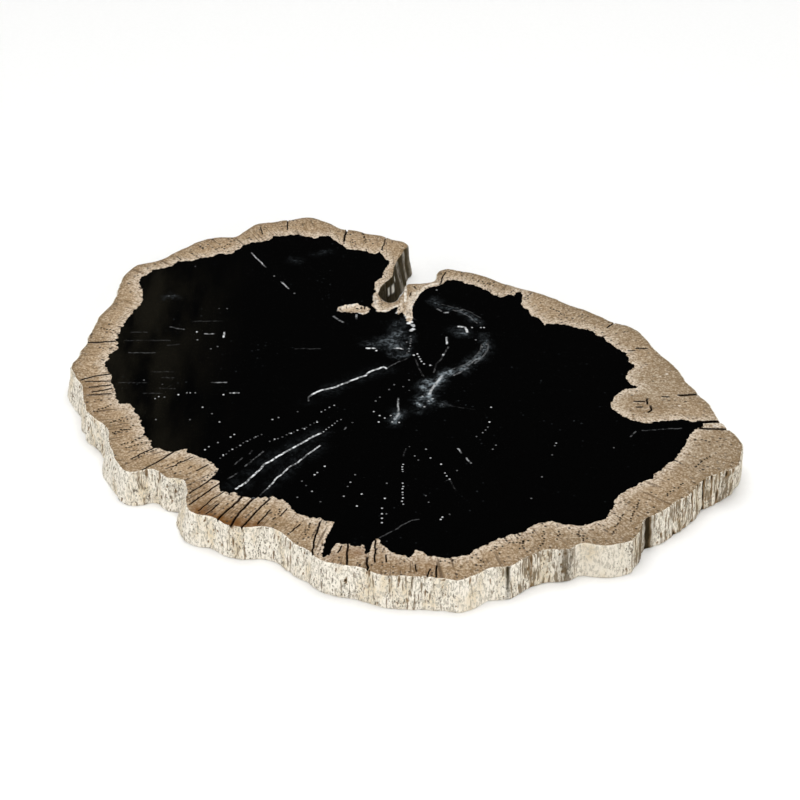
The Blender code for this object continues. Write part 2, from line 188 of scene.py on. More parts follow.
MARKS: tuple[Mark, ...] = (
    # the long bright veins of the lower left
    Mark(Stroke.WISP, 0.022, 5.0, ((-92, -111), (-77, -88), (-46, -58))),
    Mark(Stroke.WISP, 0.022, 4.0, ((-74, -111), (-62, -90), (-46, -70))),
    Mark(Stroke.WISP, 0.022, 4.0, ((-54, -24), (-40, -11.5), (-20, 2), (-8, 9.5))),
    Mark(Stroke.VEIN, 1.0, 0.9, (
        (-92, -111), (-88, -107), (-84, -101), (-79, -92), (-77, -88), (-73, -84), (-67, -78),
        (-60, -71), (-55, -66), (-50, -61), (-46, -58))),
    Mark(Stroke.BEADS, 0.8, 0.7, ((-46, -58), (-40, -50), (-34.5, -44))),
    Mark(Stroke.VEIN, 0.35, 0.5, ((-78, -117), (-74, -111))),
    Mark(Stroke.VEIN, 0.85, 0.65, (
        (-74, -111), (-70, -102), (-66, -96), (-62, -90), (-58, -86), (-52, -78), (-46, -70))),
    Mark(Stroke.VEIN, 0.95, 1.0, (
        (-53, -19.5), (-52, -18), (-47, -14), (-40, -11.5), (-35, -8), (-30, -4.5),
        (-25, -1), (-20, 2), (-18, 6), (-14, 8.5), (-10, 11), (-8, 9.5))),
    Mark(Stroke.VEIN, 0.4, 0.6, ((-54, -25), (-54, -21), (-53, -19.5))),
    Mark(Stroke.VEIN, 0.3, 0.6, ((-8, 9.5), (0, 17), (5, 20))),
    Mark(Stroke.BEADS, 0.4, 0.75, ((-103, -82), (-96.5, -74), (-88, -65.5), (-80, -59))),
    Mark(Stroke.FLECK, 0.9, 0.82, (
        (-101.2, -79.1), (-96.2, -73.6), (-91.8, -69.8), (-88, -65.6), (-83.4, -61.3))),
    Mark(Stroke.BEADS, 0.45, 0.75, ((-75, -66), (-66, -59.5), (-56, -53), (-48, -46))),
    Mark(Stroke.FLECK, 0.9, 0.78, (
        (-72.3, -63.6), (-62.9, -57.8), (-59.4, -54.8), (-55.3, -53.3), (-48.1, -46.7))),
    Mark(Stroke.FLECK, 0.85, 0.78, ((-46, -36.2), (-43.8, -34.2), (-41.3, -31.5), (-38.5, -29.5))),
    Mark(Stroke.VEIN, 0.4, 0.6, ((-88, -90), (-83, -83), (-78, -76))),
    Mark(Stroke.VEIN, 0.35, 0.6, ((-97, -102), (-92, -96))),
    Mark(Stroke.VEIN, 0.3, 0.6, ((-94, -88), (-90, -82))),
    Mark(Stroke.VEIN, 0.3, 0.6, ((-86, -78), (-85, -75))),
    Mark(Stroke.VEIN, 0.4, 0.6, ((-32, -54), (-31, -52))),
    Mark(Stroke.FLECK, 0.8, 0.9, (
        (-112, -74), (-110, -71), (-105, -67), (-98, -61.5), (-96, -59), (-74.5, -44), (-71, -42))),
    Mark(Stroke.FLECK, 0.4, 0.82, ((-60, -36), (-27.5, -47), (-114, 77), (-147, 92), (-133, 128))),
    # the upper left
    Mark(Stroke.VEIN, 0.75, 0.55, ((-97, 145), (-94, 139), (-90, 132), (-87, 127))),
    Mark(Stroke.FLECK, 0.9, 0.9, ((-81, 116),)),
    Mark(Stroke.VEIN, 0.8, 0.55, ((-76, 109), (-73, 104), (-71, 101))),
    Mark(Stroke.FLECK, 0.5, 1.15, ((-67, 95),)),
    Mark(Stroke.WISP, 0.12, 1.6, ((-71, 135), (-67, 135))),
    Mark(Stroke.WISP, 0.06, 1.6, ((-55, 143), (-46, 147))),
    Mark(Stroke.WISP, 0.07, 1.2, ((-151, 91.5), (-143, 91.5))),
    # dots and short dashes towards the left end
    Mark(Stroke.FLECK, 0.45, 0.98, ((-134.5, 53), (-109, 77), (-116, 31))),
    Mark(Stroke.FLECK, 0.95, 1.07, ((-126, 50), (-105, -18.5), (-132, -18.5))),
    Mark(Stroke.VEIN, 0.6, 0.8, ((-121, 48), (-115, 48))),
    Mark(Stroke.VEIN, 0.9, 0.8, ((-109, 44), (-109, 49.5))),
    Mark(Stroke.FLECK, 0.6, 0.98, ((-112, 33.5), (-125, 41))),
    Mark(Stroke.VEIN, 0.27, 0.7, ((-166, 26.7), (-150, 26.7))),
    Mark(Stroke.VEIN, 0.2, 0.7, ((-170, 40.5), (-142, 40.5))),
    Mark(Stroke.VEIN, 0.2, 0.7, ((-143, 35), (-136, 35.9))),
    Mark(Stroke.VEIN, 0.2, 0.7, ((-167, 49.8), (-157, 49.8))),
    Mark(Stroke.VEIN, 0.2, 0.7, ((-150.5, 5.9), (-137, 5.9))),
    Mark(Stroke.VEIN, 0.2, 0.7, ((-143.4, -0.4), (-136, -0.4))),
    Mark(Stroke.VEIN, 0.2, 0.7, ((-169, -5.7), (-152, -5.7))),
    Mark(Stroke.VEIN, 0.2, 0.7, ((-143.7, -11.2), (-134.5, -12.1))),
    Mark(Stroke.VEIN, 0.2, 0.7, ((-153, -16.9), (-142, -16.9))),
    Mark(Stroke.VEIN, 0.2, 0.7, ((-130, 62.2), (-111, 62.2))),
    Mark(Stroke.VEIN, 0.2, 0.7, ((-64, 31.1), (-48.7, 31.1))),
    Mark(Stroke.VEIN, 0.38, 0.8, ((-143, 55.6), (-136, 53.5))),
    Mark(Stroke.VEIN, 0.55, 0.7, ((-113, -5.5), (-104, -5.5))),
    Mark(Stroke.VEIN, 0.9, 0.8, ((-101, -16.5), (-96, -16.5))),
    Mark(Stroke.FLECK, 0.5, 0.9, (
        (-154, -3), (-142.5, -7.5), (-140, -21), (-123, -44), (-143, -44), (-110.5, -38))),
    Mark(Stroke.FLECK, 0.8, 0.74, (
        (-127, -16.5), (-125, -16.5), (-122, -16.5), (-145.5, -22.5), (-143.5, -20.5))),
    Mark(Stroke.FLECK, 0.9, 0.9, ((-116.5, -31.5), (-105.5, -46.5))),
    # rays below the pith
    Mark(Stroke.BEADS, 0.85, 0.75, ((2, -88), (2, -95))),
    Mark(Stroke.BEADS, 0.9, 0.8, ((2, -106), (2, -125))),
    Mark(Stroke.VEIN, 0.3, 0.6, ((4, -73), (2.5, -80))),
    Mark(Stroke.FLECK, 0.9, 0.9, (
        (-8, -120), (-9.5, -129), (-9.5, -134), (-9.5, -138), (-9.5, -142), (-27.5, -105),
        (-31, -118), (-21, -116), (-23.5, -127), (-42.5, -90), (-48, -98), (-46.5, -96),
        (-49, -113.5), (15.5, -73.5), (18, -82), (24, -88), (24, -137), (23, -139))),
    Mark(Stroke.FLECK, 0.5, 0.82, (
        (-7, -106), (-7, -134), (-25, -98), (-29, -109), (-52.5, -108), (-55, -104),
        (-57, -119), (-44, -123), (33, -94), (15, -117.5), (16.5, -123.5), (28, -134.5),
        (9, -80), (11, -84), (6, -71))),
    Mark(Stroke.BEADS, 0.85, 0.7, ((26, -96), (27, -100), (28.5, -102))),
    Mark(Stroke.VEIN, 0.2, 0.5, ((28.5, -102), (32, -113))),
    Mark(Stroke.VEIN, 0.85, 0.7, ((34, -73), (36, -77))),
    Mark(Stroke.VEIN, 0.6, 0.7, ((38.5, -82), (41, -87))),
    Mark(Stroke.VEIN, 0.28, 0.5, (
        (-12, -156), (-8, -153), (-4, -150), (0, -146), (3, -143), (7, -140), (11, -139))),
    # the right half
    Mark(Stroke.FLECK, 0.95, 0.98, ((91, -67.5), (54.5, -31.5), (53, -46.5))),
    Mark(Stroke.FLECK, 0.45, 0.9, (
        (90, -70), (88, -79), (81, -100), (74, -120), (56, -69.5), (54, -73.5), (124, -72))),
    Mark(Stroke.BEADS, 0.6, 0.8, ((52, -52), (49, -57))),
    Mark(Stroke.VEIN, 0.35, 0.6, ((134.5, -61), (138, -56))),
    Mark(Stroke.VEIN, 0.3, 0.6, ((142, -55), (150, -54.5), (158, -53), (165, -53))),
    Mark(Stroke.VEIN, 0.18, 0.5, ((24, -28), (34, -31), (45, -34))),
    Mark(Stroke.FLECK, 0.7, 0.98, ((24, 99),)),
    # white crumbs below the split, and pale chips in the rind round it and at the right end
    Mark(Stroke.FLECK, 1.0, 2.6, (
        (5.4, 67.5), (7.4, 66.6), (5.6, 60), (7.4, 61.4), (8.6, 57.6), (7.6, 51.8), (8.8, 53))),
    Mark(Stroke.FLECK, 0.9, 1.31, ((3.5, 68.6), (4.4, 66), (9.2, 56.4), (-1.8, 71.7), (-0.9, 74))),
    Mark(Stroke.FLECK, 0.5, 0.98, ((4.6, 38.5),)),
    Mark(Stroke.VEIN, 0.95, 1.4, ((4.2, 104.5), (3.9, 94.3), (3.6, 84))),
    Mark(Stroke.VEIN, 0.7, 1.2, ((1.3, 90), (1.5, 83))),
    Mark(Stroke.VEIN, 0.7, 1.5, ((9, 88), (7.2, 77))),
    Mark(Stroke.VEIN, 0.8, 1.6, ((25, 107), (20, 105.4), (16, 102), (13, 96), (10.6, 90), (8.6, 84))),
    Mark(Stroke.VEIN, 0.75, 1.4, ((-10, 74.4), (-5, 77.4), (-1, 80), (2, 84))),
    Mark(Stroke.VEIN, 0.9, 1.4, ((-14, 74.6), (-8, 74.2))),
    Mark(Stroke.VEIN, 0.66, 2.6, ((-8, 112), (-12, 107), (-14, 102), (-13.5, 97))),
    Mark(Stroke.VEIN, 0.7, 2.6, ((-15.5, 91), (-14.5, 86), (-15, 81), (-13, 76.5))),
    Mark(Stroke.VEIN, 0.62, 3.4, ((5, 70), (5.4, 77), (6.6, 84), (9, 91), (12, 97))),
    Mark(Stroke.VEIN, 0.85, 1.3, ((-38.5, 75.5), (-35.5, 74.2), (-27, 73.3))),
    Mark(Stroke.VEIN, 0.9, 1.4, ((-25, 71.8), (-22.5, 71.4), (-19.5, 73.6))),
    Mark(Stroke.VEIN, 0.72, 1.3, ((-37, 78.8), (-33.5, 80.6), (-27, 82))),
    Mark(Stroke.VEIN, 0.7, 2.2, ((184.5, -50.2), (191, -50))),
    Mark(Stroke.FLECK, 0.75, 1.4, ((147.8, -32.7),)),
    Mark(Stroke.FLECK, 0.8, 1.48, ((158, 0.5), (162, 3.5), (139, -1), (178, -20.5), (166, -30))),
    # smoke and dashes round the pith
    Mark(Stroke.WISP, 0.27, 3.4, ((-8, 37), (-4, 41), (0, 49), (0, 60))),
    Mark(Stroke.WISP, 0.3, 2.6, ((-12, 38), (-8, 35), (0, 33))),
    Mark(Stroke.WISP, 0.07, 4.0, ((2, 33), (0, 46), (0, 60))),
    Mark(Stroke.WISP, 0.1, 2.2, ((-22, 38), (-14, 34), (-8, 33))),
    Mark(Stroke.VEIN, 1.0, 1.1, ((-20, 31.5), (-15, 31.5))),
    Mark(Stroke.FLECK, 0.9, 1.23, ((-14, 29), (19, 13), (27, 24.5), (9, 24))),
    Mark(Stroke.VEIN, 0.9, 0.9, ((-3, 31.5), (0, 31.8), (2.5, 31))),
    Mark(Stroke.WISP, 0.2, 1.4, ((-7, 26), (0, 22), (5, 25), (7, 35), (7, 45))),
    Mark(Stroke.BEADS, 0.5, 1.0, ((5, 26), (7, 35), (7, 45))),
    Mark(Stroke.BEADS, 1.0, 1.0, ((11, 25), (13, 19), (15, 14.5))),
    Mark(Stroke.VEIN, 0.25, 0.6, ((10, 20), (12, 10), (15, 0))),
    Mark(Stroke.VEIN, 0.3, 0.7, ((30, 33), (26, 20), (23, 15), (21, 5))),
    Mark(Stroke.VEIN, 1.0, 0.9, ((29.5, 36.5), (29.5, 44))),
    Mark(Stroke.VEIN, 0.95, 1.2, ((37, 56), (41, 55), (42.5, 50))),
    Mark(Stroke.WISP, 0.2, 3.0, ((36, 53), (40, 49))),
    Mark(Stroke.FLECK, 0.9, 0.98, ((45.5, 55), (51, 55), (53, 55))),
    Mark(Stroke.FLECK, 0.5, 0.98, ((47.5, 41), (54, 36), (51, 33))),
    Mark(Stroke.WISP, 0.8, 2.4, ((20, -10), (22, -6), (25, -1), (27, 2), (31, 6))),
    Mark(Stroke.VEIN, 0.7, 1.3, ((18, -18), (20, -11), (23, -5), (26, 1))),
    Mark(Stroke.WISP, 0.3, 2.2, (
        (31, 5), (37, 7), (41, 11), (45, 17), (49, 21), (53, 29), (54, 37), (52, 44))),
    Mark(Stroke.VEIN, 0.34, 0.7, ((46, 15), (51, 22), (54.5, 30), (55, 38))),
    Mark(Stroke.VEIN, 0.3, 0.6, ((35, 8), (41, 14), (46, 21), (50, 29), (51, 36))),
    Mark(Stroke.VEIN, 0.3, 0.6, ((22, -3), (27, 4), (33, 9), (39, 13))),
    Mark(Stroke.VEIN, 0.45, 0.8, ((33, 2), (37, 5), (41, 11), (45, 17), (49, 21))),
    Mark(Stroke.WISP, 0.13, 1.9, (
        (50, 60), (45, 68), (38, 75), (30, 78), (25, 80), (21, 88))),
    Mark(Stroke.VEIN, 0.33, 0.7, ((49, 60), (45, 66.5), (40, 71.5), (34, 75))),
    Mark(Stroke.VEIN, 0.26, 0.6, ((51, 66), (46, 72), (40, 76.5), (33, 79), (27, 82))),
    Mark(Stroke.VEIN, 0.45, 1.0, ((24, 76.2), (26.7, 74))),
    Mark(Stroke.VEIN, 0.65, 1.0, ((28.4, 72.2), (30.8, 72.2))),
    Mark(Stroke.VEIN, 0.45, 0.9, ((36.9, 74.4), (39.8, 75.1))),
    Mark(Stroke.WISP, 0.6, 2.4, ((18, -5), (14, -8), (16, -14), (18, -20))),
    Mark(Stroke.WISP, 0.45, 2.0, ((14, -22), (11, -27), (14, -30), (18, -29), (19, -24))),
    Mark(Stroke.FLECK, 0.75, 1.07, ((14, -20), (17.5, -25), (12, -28.5), (20, -22.5), (15, -31))),
    Mark(Stroke.WISP, 0.2, 1.4, ((12, -35), (16, -30))),
    Mark(Stroke.WISP, 0.12, 1.2, ((20, -25), (24, -28), (30, -30))),
    Mark(Stroke.WISP, 0.35, 2.6, ((-3, -46), (-1, -41), (0, -36))),
    Mark(Stroke.VEIN, 0.7, 0.8, ((-0.5, -22), (-0.5, -36))),
    Mark(Stroke.VEIN, 0.6, 1.2, ((-3, -44), (0, -38))),
    Mark(Stroke.FLECK, 0.9, 0.98, (
        (-11.5, -40), (-8.5, -42.5), (-12, -46.5), (-5, -40), (-4, -46.5), (0, -47),
        (-15, -36))),
    Mark(Stroke.FLECK, 0.45, 0.9, (
        (-14, -25), (-11.5, -21), (-6, -13), (-3, -8), (6, -3), (6, -14), (2.5, -10),
        (45, -61))),
    Mark(Stroke.VEIN, 0.5, 1.1, ((-41, 68), (-38, 64), (-35, 61))),
    Mark(Stroke.VEIN, 0.6, 1.0, ((-27, 70), (-27, 65))),
)

CRACKS: tuple[Crack, ...] = (
    # the deep ones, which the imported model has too
    Crack(((-199, 38.5), (-188, 38.5), (-175, 39.5)), 0.9, 2.0),
    Crack(((-146.1, -93.2), (-138.9, -85.9), (-131.7, -77.7), (-130, -76)), 0.65, 2.2),
    Crack(((-103, -143), (-94.9, -129.7), (-88.2, -118.8)), 0.8, 2.4),
    Crack(((-94, -147), (-87.4, -130.2), (-80.8, -119)), 0.8, 2.2),
    Crack(((-87.5, -147.5), (-79.4, -132), (-72.4, -120.2)), 0.7, 2.2),
    Crack(((-47, -171), (-46.4, -158), (-43.5, -141)), 0.6, 1.8),
    Crack(((-17, -188), (-17, -172)), 0.75, 2.0),
    Crack(((191, -46), (176, -46.5)), 1.6, 2.2),
    Crack(((194, -53.5), (176, -53)), 1.1, 2.2),
    Crack(((182, -18), (174, -18.2), (167, -18.8)), 1.1, 1.8),
    Crack(((138, 65), (130, 55)), 0.6, 1.6),
    Crack(((-34, 179), (-35.5, 172), (-37, 160)), 0.8, 2.0),
    # finer ones, left end
    Crack(((-192, -2.6), (-185, 1.2), (-174.5, 3.3)), 0.8),
    Crack(((-189, -4.4), (-173.8, -4.2)), 0.7),
    Crack(((-186, -10.3), (-173.4, -8.1)), 0.75),
    Crack(((-183.5, -15.6), (-172.4, -11.9)), 0.75),
    Crack(((-186, -18.4), (-178.5, -17.7), (-172.4, -17.2)), 0.65),
    Crack(((-153.7, -82.9), (-148.5, -77.7), (-142, -72.5)), 0.6),
    Crack(((-133.1, -92.4), (-128.2, -88.8), (-118.6, -80.8)), 0.45),
    Crack(((-115.5, -94), (-109, -88.4)), 0.6),
    Crack(((-117.8, -115.2), (-110.3, -106.6), (-102, -97.4)), 0.6),
    Crack(((-117, -125.8), (-108.8, -114.7), (-101, -105.4)), 0.6),
    Crack(((-111.5, -131), (-104.9, -121), (-97.6, -112.6)), 0.5),
    Crack(((-107, -134), (-100.5, -125)), 0.5),
    Crack(((-78, -143), (-75, -137), (-71.5, -130.5)), 0.55),
    Crack(((-65.4, -136), (-62.4, -129)), 0.45),
    Crack(((-59.5, -150.5), (-54.5, -143)), 0.5),
    Crack(((-33, -168), (-31, -162)), 0.5),
    Crack(((-28, -178), (-28, -161)), 0.7, 1.2),
    Crack(((-13, -176), (-13, -157)), 0.6, 1.0),
    Crack(((-7, -176), (-7, -170)), 0.5),
    Crack(((9, -184), (9, -178)), 0.45),
    Crack(((15, -188), (17, -182)), 0.5),
    Crack(((20, -189), (20, -179)), 0.6, 1.2),
    # right end and the knot in the tongue
    Crack(((161, -20.5), (157, -20.5)), 0.7),
    Crack(((140, -25), (146, -25)), 0.8),
    Crack(((148, -22), (147.5, -28)), 0.7),
    Crack(((149, -29.5), (149.5, -34), (147, -36)), 0.7),
    Crack(((141, -31), (144, -31)), 0.8),
    Crack(((152.5, 31.5), (146, 31.5)), 0.8),
    Crack(((145, 29), (141, 29)), 0.7),
    # back
    Crack(((30, 121), (28, 113), (26, 106)), 0.5),
    Crack(((7.4, 96.5), (6.9, 91.5)), 0.45),
    Crack(((9.4, 103.5), (10.4, 101)), 0.6),
    Crack(((-9, 165), (-10, 157), (-12, 149)), 0.45),
    Crack(((-75, 188), (-75, 175)), 0.5, 1.2),
    Crack(((-93, 179), (-91, 169)), 0.45),
    Crack(((-146, 140), (-143, 136)), 0.4),
)

PIT_ROWS: tuple[Line, ...] = (
    ((-180.7, -35.6), (-170.8, -29.4)), ((-169.2, -47), (-161, -42)),
    ((-166, -57), (-157.8, -53), (-155.4, -50.6)), ((-160.3, -70), (-151, -63.4)),
    ((-158, -72), (-147, -66.8)), ((-150, -80), (-140, -74)), ((-130, -92), (-123, -84)),
    ((-112, -104), (-105, -96)), ((-70, -139), (-66, -130)), ((-52, -152), (-49, -142)),
    ((-38, -170), (-36, -163)), ((22, -176), (29, -175)), ((60, -160), (70, -158)),
    ((118, -150), (124, -134)), ((128, -140), (133, -124)), ((150, -118), (160, -106)),
    ((170, -90), (178, -80)), ((-120, 150), (-112, 156)), ((-186, 55), (-178, 52)),
    ((-24, 168), (-22, 158)), ((52, 110), (60, 104)), ((96, 78), (104, 70)),
    ((-166.9, -57.4), (-159.7, -54.4)), ((-163, -46), (-158, -43)), ((-154.9, -65.8), (-150.7, -63.5)),
    ((88, -150), (86, -156)), ((98, -150), (101, -158)), ((40, -172), (46, -176)),
    ((50, -166), (56, -163)), ((66, -164), (69, -158)), ((77, -162), (80, -150)),
    ((-36, 75), (-31, 74)), ((-27, 80), (-22, 78)),
)
# Rows of open pits along the rays of the rind, mm: not sunk, only painted dark with dirt and painted
# shade.
"""Rows of open pits along the rays of the rind, mm."""

STAINS: tuple[Patch, ...] = (
    Patch(-110, -131, 6.5, 1.0), Patch(-105, -135.5, 6, 0.9), Patch(-100, -138.5, 6, 1.15),
    Patch(-95.5, -141, 6, 1.15), Patch(-90, -142, 6.5, 1.0), Patch(-85, -143.5, 6, 1.0),
    Patch(-79, -144, 6, 0.9), Patch(-97, -134, 8, 0.4), Patch(-22, -168, 5, 0.7),
    Patch(-88, -137, 6, 0.45), Patch(-112, -109, 7, 0.25), Patch(-110, -121, 7, 0.3),
    Patch(-26, -167, 7, 0.42), Patch(-36, -172, 6, 0.4), Patch(-10, -176, 8, 0.3),
    Patch(14, -182, 8, 0.35), Patch(0, -180, 7, 0.25),
    Patch(-186, -14, 9, 0.22), Patch(-178, -40, 8, 0.15), Patch(-30, 71, 4, 0.4),
    Patch(-13, 90, 4, 0.2), Patch(150, -30, 6, 0.12), Patch(60, -176, 8, 0.12),
    Patch(120, -152, 10, 0.12), Patch(-70, -137, 7, 0.12),
)
"""Where iron has stained the rind orange-brown."""

GREYER: tuple[Patch, ...] = (
    Patch(150, -10, 45, 0.75), Patch(130, 60, 50, 0.6), Patch(60, 110, 45, 0.4),
    Patch(180, -80, 42, 0.75), Patch(110, -150, 50, 0.6), Patch(20, 100, 14, 0.35),
)
"""Where the rind is a greyer tan."""

TOOTHED: tuple[Patch, ...] = (
    Patch(-150, -50, 50, 0.7), Patch(-90, -115, 45, 0.9), Patch(-20, -160, 35, 0.6),
    Patch(-175, 40, 30, 0.4), Patch(-100, 150, 60, 0.3),
)
"""Where the rays break the core's border into long teeth."""

GOUGES: tuple[tuple[float, float, float, float], ...] = (
    (58, -180.5, 0.8, 1.5), (90.5, -165, 1.6, 1.2), (139, -139, 1.9, 2.8),
    (133, -146, 2.2, 0.8), (155, -126, 1.2, 1.3), (160, -120, 0.9, 1.2),
    (165, -114, 1.2, 1.4), (169, -108, 0.9, 1.1), (173, -103, 1.3, 1.5),
    (178, -99.5, 0.9, 1.2), (182, -97, 1.4, 1.5), (187, -95, 1.0, 1.2),
    (191, -92.5, 1.2, 1.4), (195, -88, 1.0, 1.1), (-148, -95, 1.1, 1.1),
    (-144, -93.5, 0.9, 1.0), (-136.5, -96, 1.2, 1.2),
    (-26, -177.5, 0.8, 1.0), (-16, -183.5, 0.8, 1.1), (0, -188, 0.8, 1.0),
    (14, -189, 0.7, 0.8), (38, -189, 0.8, 0.9), (72, -171, 1.0, 0.9),
    (81, -166.5, 0.8, 0.8), (-60, -158, 0.9, 0.8), (-42, -173, 0.8, 0.9),
    (-92, -145, 0.8, 0.8), (-172, -51, 0.9, 0.8), (-167, -67, 0.8, 0.8),
    (-7.5, 107.5, 1.2, 1.2), (-4.8, 113, 1.0, 1.0), (-11.8, 99, 1.2, 1.2),
    (-4, 124, 1.2, 0.9), (0, 137, 1.2, 0.9), (4, 149, 1.4, 0.9), (18, 108, 1.0, 0.9),
    (140, 58.5, 1.0, 0.9), (176, -12, 1.0, 1.0), (187, -46, 1.2, 1.6),
)
"""Upright gouges in the wall: place, half width and depth, mm."""

SMOOTH_WALL: tuple[Patch, ...] = (Patch(107, -162, 13, 0.75), Patch(40, -188, 14, 0.4))
"""Where the wall has fewer flutes and pits, and less dirt."""

DARK_AND_SHADED_WALL: tuple[Patch, ...] = (
    Patch(-9, 98, 12, 1.5), Patch(-5, 112, 10, 1.4), Patch(-3, 124, 10, 1.3),
    Patch(1, 138, 9, 1.2), Patch(5, 149, 7, 1.0), Patch(8, 106, 5, 0.5),
    Patch(139, -140, 3.8, 0.9), Patch(133, -147, 4, 0.4), Patch(90.5, -165, 3.6, 0.5),
    Patch(58.5, -180.5, 1.2, 1.2),
)
# Where the wall is painted in shade over its darker old stone: inside the split and in the deeper
# gouges.
"""Where the wall is old dark stone: inside the split and in the deeper gouges."""

GRIMY_AND_SHADED_WALL: tuple[Patch, ...] = (
    Patch(70, -172, 13, 1.0), Patch(90, -166, 9, 0.8), Patch(130, -150, 10, 0.7),
    Patch(158, -122, 22, 0.9), Patch(185, -98, 24, 0.8), Patch(5, -188, 20, 0.3),
    Patch(-145, -94, 7, 0.5), Patch(133, -148, 7, 1.2),
)
# Where more of the wall is soiled in streaks; beside the step near (133, -148) the streaks also paint
# its shade.
"""Where more of the wall is soiled in streaks."""

PALE_CHIPS: tuple[tuple[float, float, float, float, float], ...] = (
    (-6.8, 109.5, 0.9, 11.5, 17), (-3.4, 114.4, 1.7, 10, 16), (-2.8, 121, 0.5, 15, 19),
)
"""Pale splinters on the wall of the split: place, half width, foot and top, mm."""

HOLLOW_MIDDLE = (-29.0, 77.0)    # the shallow bowl in the island beside the split, mm
HOLLOW_HALF_SIZE = (11.0, 5.5)
HOLLOW_DEPTH = 2.0
HOLLOW_TURN = -0.12        # radians


def on_model(places: Line | np.ndarray) -> np.ndarray:
    """Places measured from the pith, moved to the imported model's own plan."""
    return np.asarray(places, float).reshape(-1, 2) + PLAN_SHIFT


def linear(code: str) -> tuple[float, float, float, float]:
    """Linear colour of an sRGB hex value, by the sRGB curve.

    Args:
        code: such as "#c8b79e".

    Returns:
        Red, green, blue and alpha for a node's socket.
    """
    channels = [int(code[start:start + 2], 16) / 255 for start in (1, 3, 5)]
    red, green, blue = (c / 12.92 if c <= 0.04045 else ((c + 0.055) / 1.055) ** 2.4 for c in channels)
    return (red, green, blue, 1.0)


def lattice_noise(places: np.ndarray, seed: int) -> np.ndarray:
    """Smooth noise: a hashed number at each corner of a unit lattice, blended between corners.

    The blend weight along each axis is 3t^2 - 2t^3, with t the place between two corners.

    Args:
        places: points in lattice units, one row each, of two or three columns.
        seed: which noise.

    Returns:
        A number from -1 to 1 for each row.
    """
    cell = np.floor(places).astype(np.int64)
    part = places - cell
    blend = part * part * (3 - 2 * part)
    primes = np.array((73856093, 19349663, 83492791))[: places.shape[-1]]
    total = np.zeros(places.shape[:-1])
    for corner in np.ndindex(*(2,) * places.shape[-1]):
        key = ((cell + corner) * primes).sum(axis=-1) + seed * 2654435761
        key = (key ^ (key >> 13)) * 1274126177 & 0xFFFFFFFF
        key = (key ^ (key >> 15)) * 2246822519 & 0xFFFFFFFF
        value = ((key ^ (key >> 16)) & 0xFFFF) / 0xFFFF
        total += value * np.where(corner, blend, 1 - blend).prod(axis=-1)
    return 2 * total - 1


def rough_noise(places: np.ndarray, seed: int, octaves: int = 3) -> np.ndarray:
    """Lattice noise added to itself at twice the scale and half the height, octave by octave."""
    layers = [lattice_noise(places * 2**k, seed + k) * 0.5**k for k in range(octaves)]
    return sum(layers)


def running_length(line: np.ndarray) -> np.ndarray:
    """How far along a line each of its points lies."""
    return np.append(0, np.hypot(*np.diff(line, axis=0).T).cumsum())


def points_at(line: np.ndarray, at: np.ndarray) -> np.ndarray:
    """The points of a line at some running lengths."""
    length = running_length(line)
    return np.column_stack([np.interp(at, length, across) for across in line.T])


def resampled(line: np.ndarray, step: float) -> np.ndarray:
    """Points along a line at an even step.

    Args:
        line: corners, one row each.
        step: distance between points, about.

    Returns:
        The points, the first and last corner among them.
    """
    whole = running_length(line)[-1]
    return points_at(line, np.linspace(0, whole, max(2, round(whole / step) + 1)))


def sideways(line: np.ndarray, closed: bool = False) -> np.ndarray:
    """Unit vectors to the right of a line at each of its points: its turned tangent.

    Args:
        line: points, one row each.
        closed: whether the last point joins the first.

    Returns:
        One vector for each point.
    """
    if closed:
        along = np.roll(line, -1, axis=0) - np.roll(line, 1, axis=0)
    else:
        along = np.gradient(line, axis=0)
    along /= np.maximum(np.hypot(*along.T), 1e-9)[:, None]
    return np.column_stack((along[:, 1], -along[:, 0]))


def beside(line: np.ndarray, away: tuple[float, ...]) -> np.ndarray:
    """Points in rows at some distances beside a line, each row run on past both ends.

    Args:
        line: points of the line.
        away: distance of each row to the right; the widest is also the run past the ends.

    Returns:
        The rows, one after another.
    """
    reach = max(away)
    first = line[0] - (line[1] - line[0]) / np.hypot(*(line[1] - line[0])) * reach
    last = line[-1] + (line[-1] - line[-2]) / np.hypot(*(line[-1] - line[-2])) * reach
    longer = np.vstack((first, line, last))
    side = sideways(longer)
    return np.vstack([longer + side * row for row in away])


def dots(middles: np.ndarray, radii: tuple[float, ...]) -> np.ndarray:
    """Each middle, with six points round it at each radius.

    Args:
        middles: one row each.
        radii: of the rings of six, mm.

    Returns:
        The middles, then the rings.
    """
    turn = np.arange(6) * np.pi / 3
    spokes = np.column_stack((np.cos(turn), np.sin(turn)))
    return np.vstack([middles] + [middles + radius * spoke for radius in radii for spoke in spokes])


def wandering(line: np.ndarray, step: float, reach: float, length: float, seed: int) -> np.ndarray:
    """A line resampled, and pushed sideways by noise that changes over a given length.

    Args:
        line: corners, one row each.
        step: distance between points, about.
        reach: of the push.
        length: over which the noise changes.
        seed: which noise.

    Returns:
        The points.
    """
    fine = resampled(line, step)
    push = rough_noise(fine / length, seed) * reach
    return fine + sideways(fine) * push[:, None]


def to_line(places: np.ndarray, line: np.ndarray) -> tuple[np.ndarray, np.ndarray]:
    """Distance from points to a line of straight pieces, and how far along the nearest point is.

    Args:
        places: one row for each point.
        line: corners of the line, one row each.

    Returns:
        Distance, and running length at the nearest point, for each place.
    """
    start = line[:-1]
    piece = np.diff(line, axis=0)
    span = np.hypot(*piece.T)
    before = np.append(0, span.cumsum())[:-1]
    best = np.full(len(places), np.inf)
    along = np.zeros(len(places))
    for rows in np.array_split(np.arange(len(places)), max(1, len(places) * len(piece) // CHUNK)):
        offset = places[rows, None, :] - start
        share = np.clip((offset * piece).sum(-1) / np.maximum(span, 1e-9) ** 2, 0, 1)
        gap = np.hypot(*np.moveaxis(offset - share[..., None] * piece, -1, 0))
        nearest = gap.argmin(axis=1)
        pick = (np.arange(len(rows)), nearest)
        best[rows] = gap[pick]
        along[rows] = before[nearest] + share[pick] * span[nearest]
    return best, along


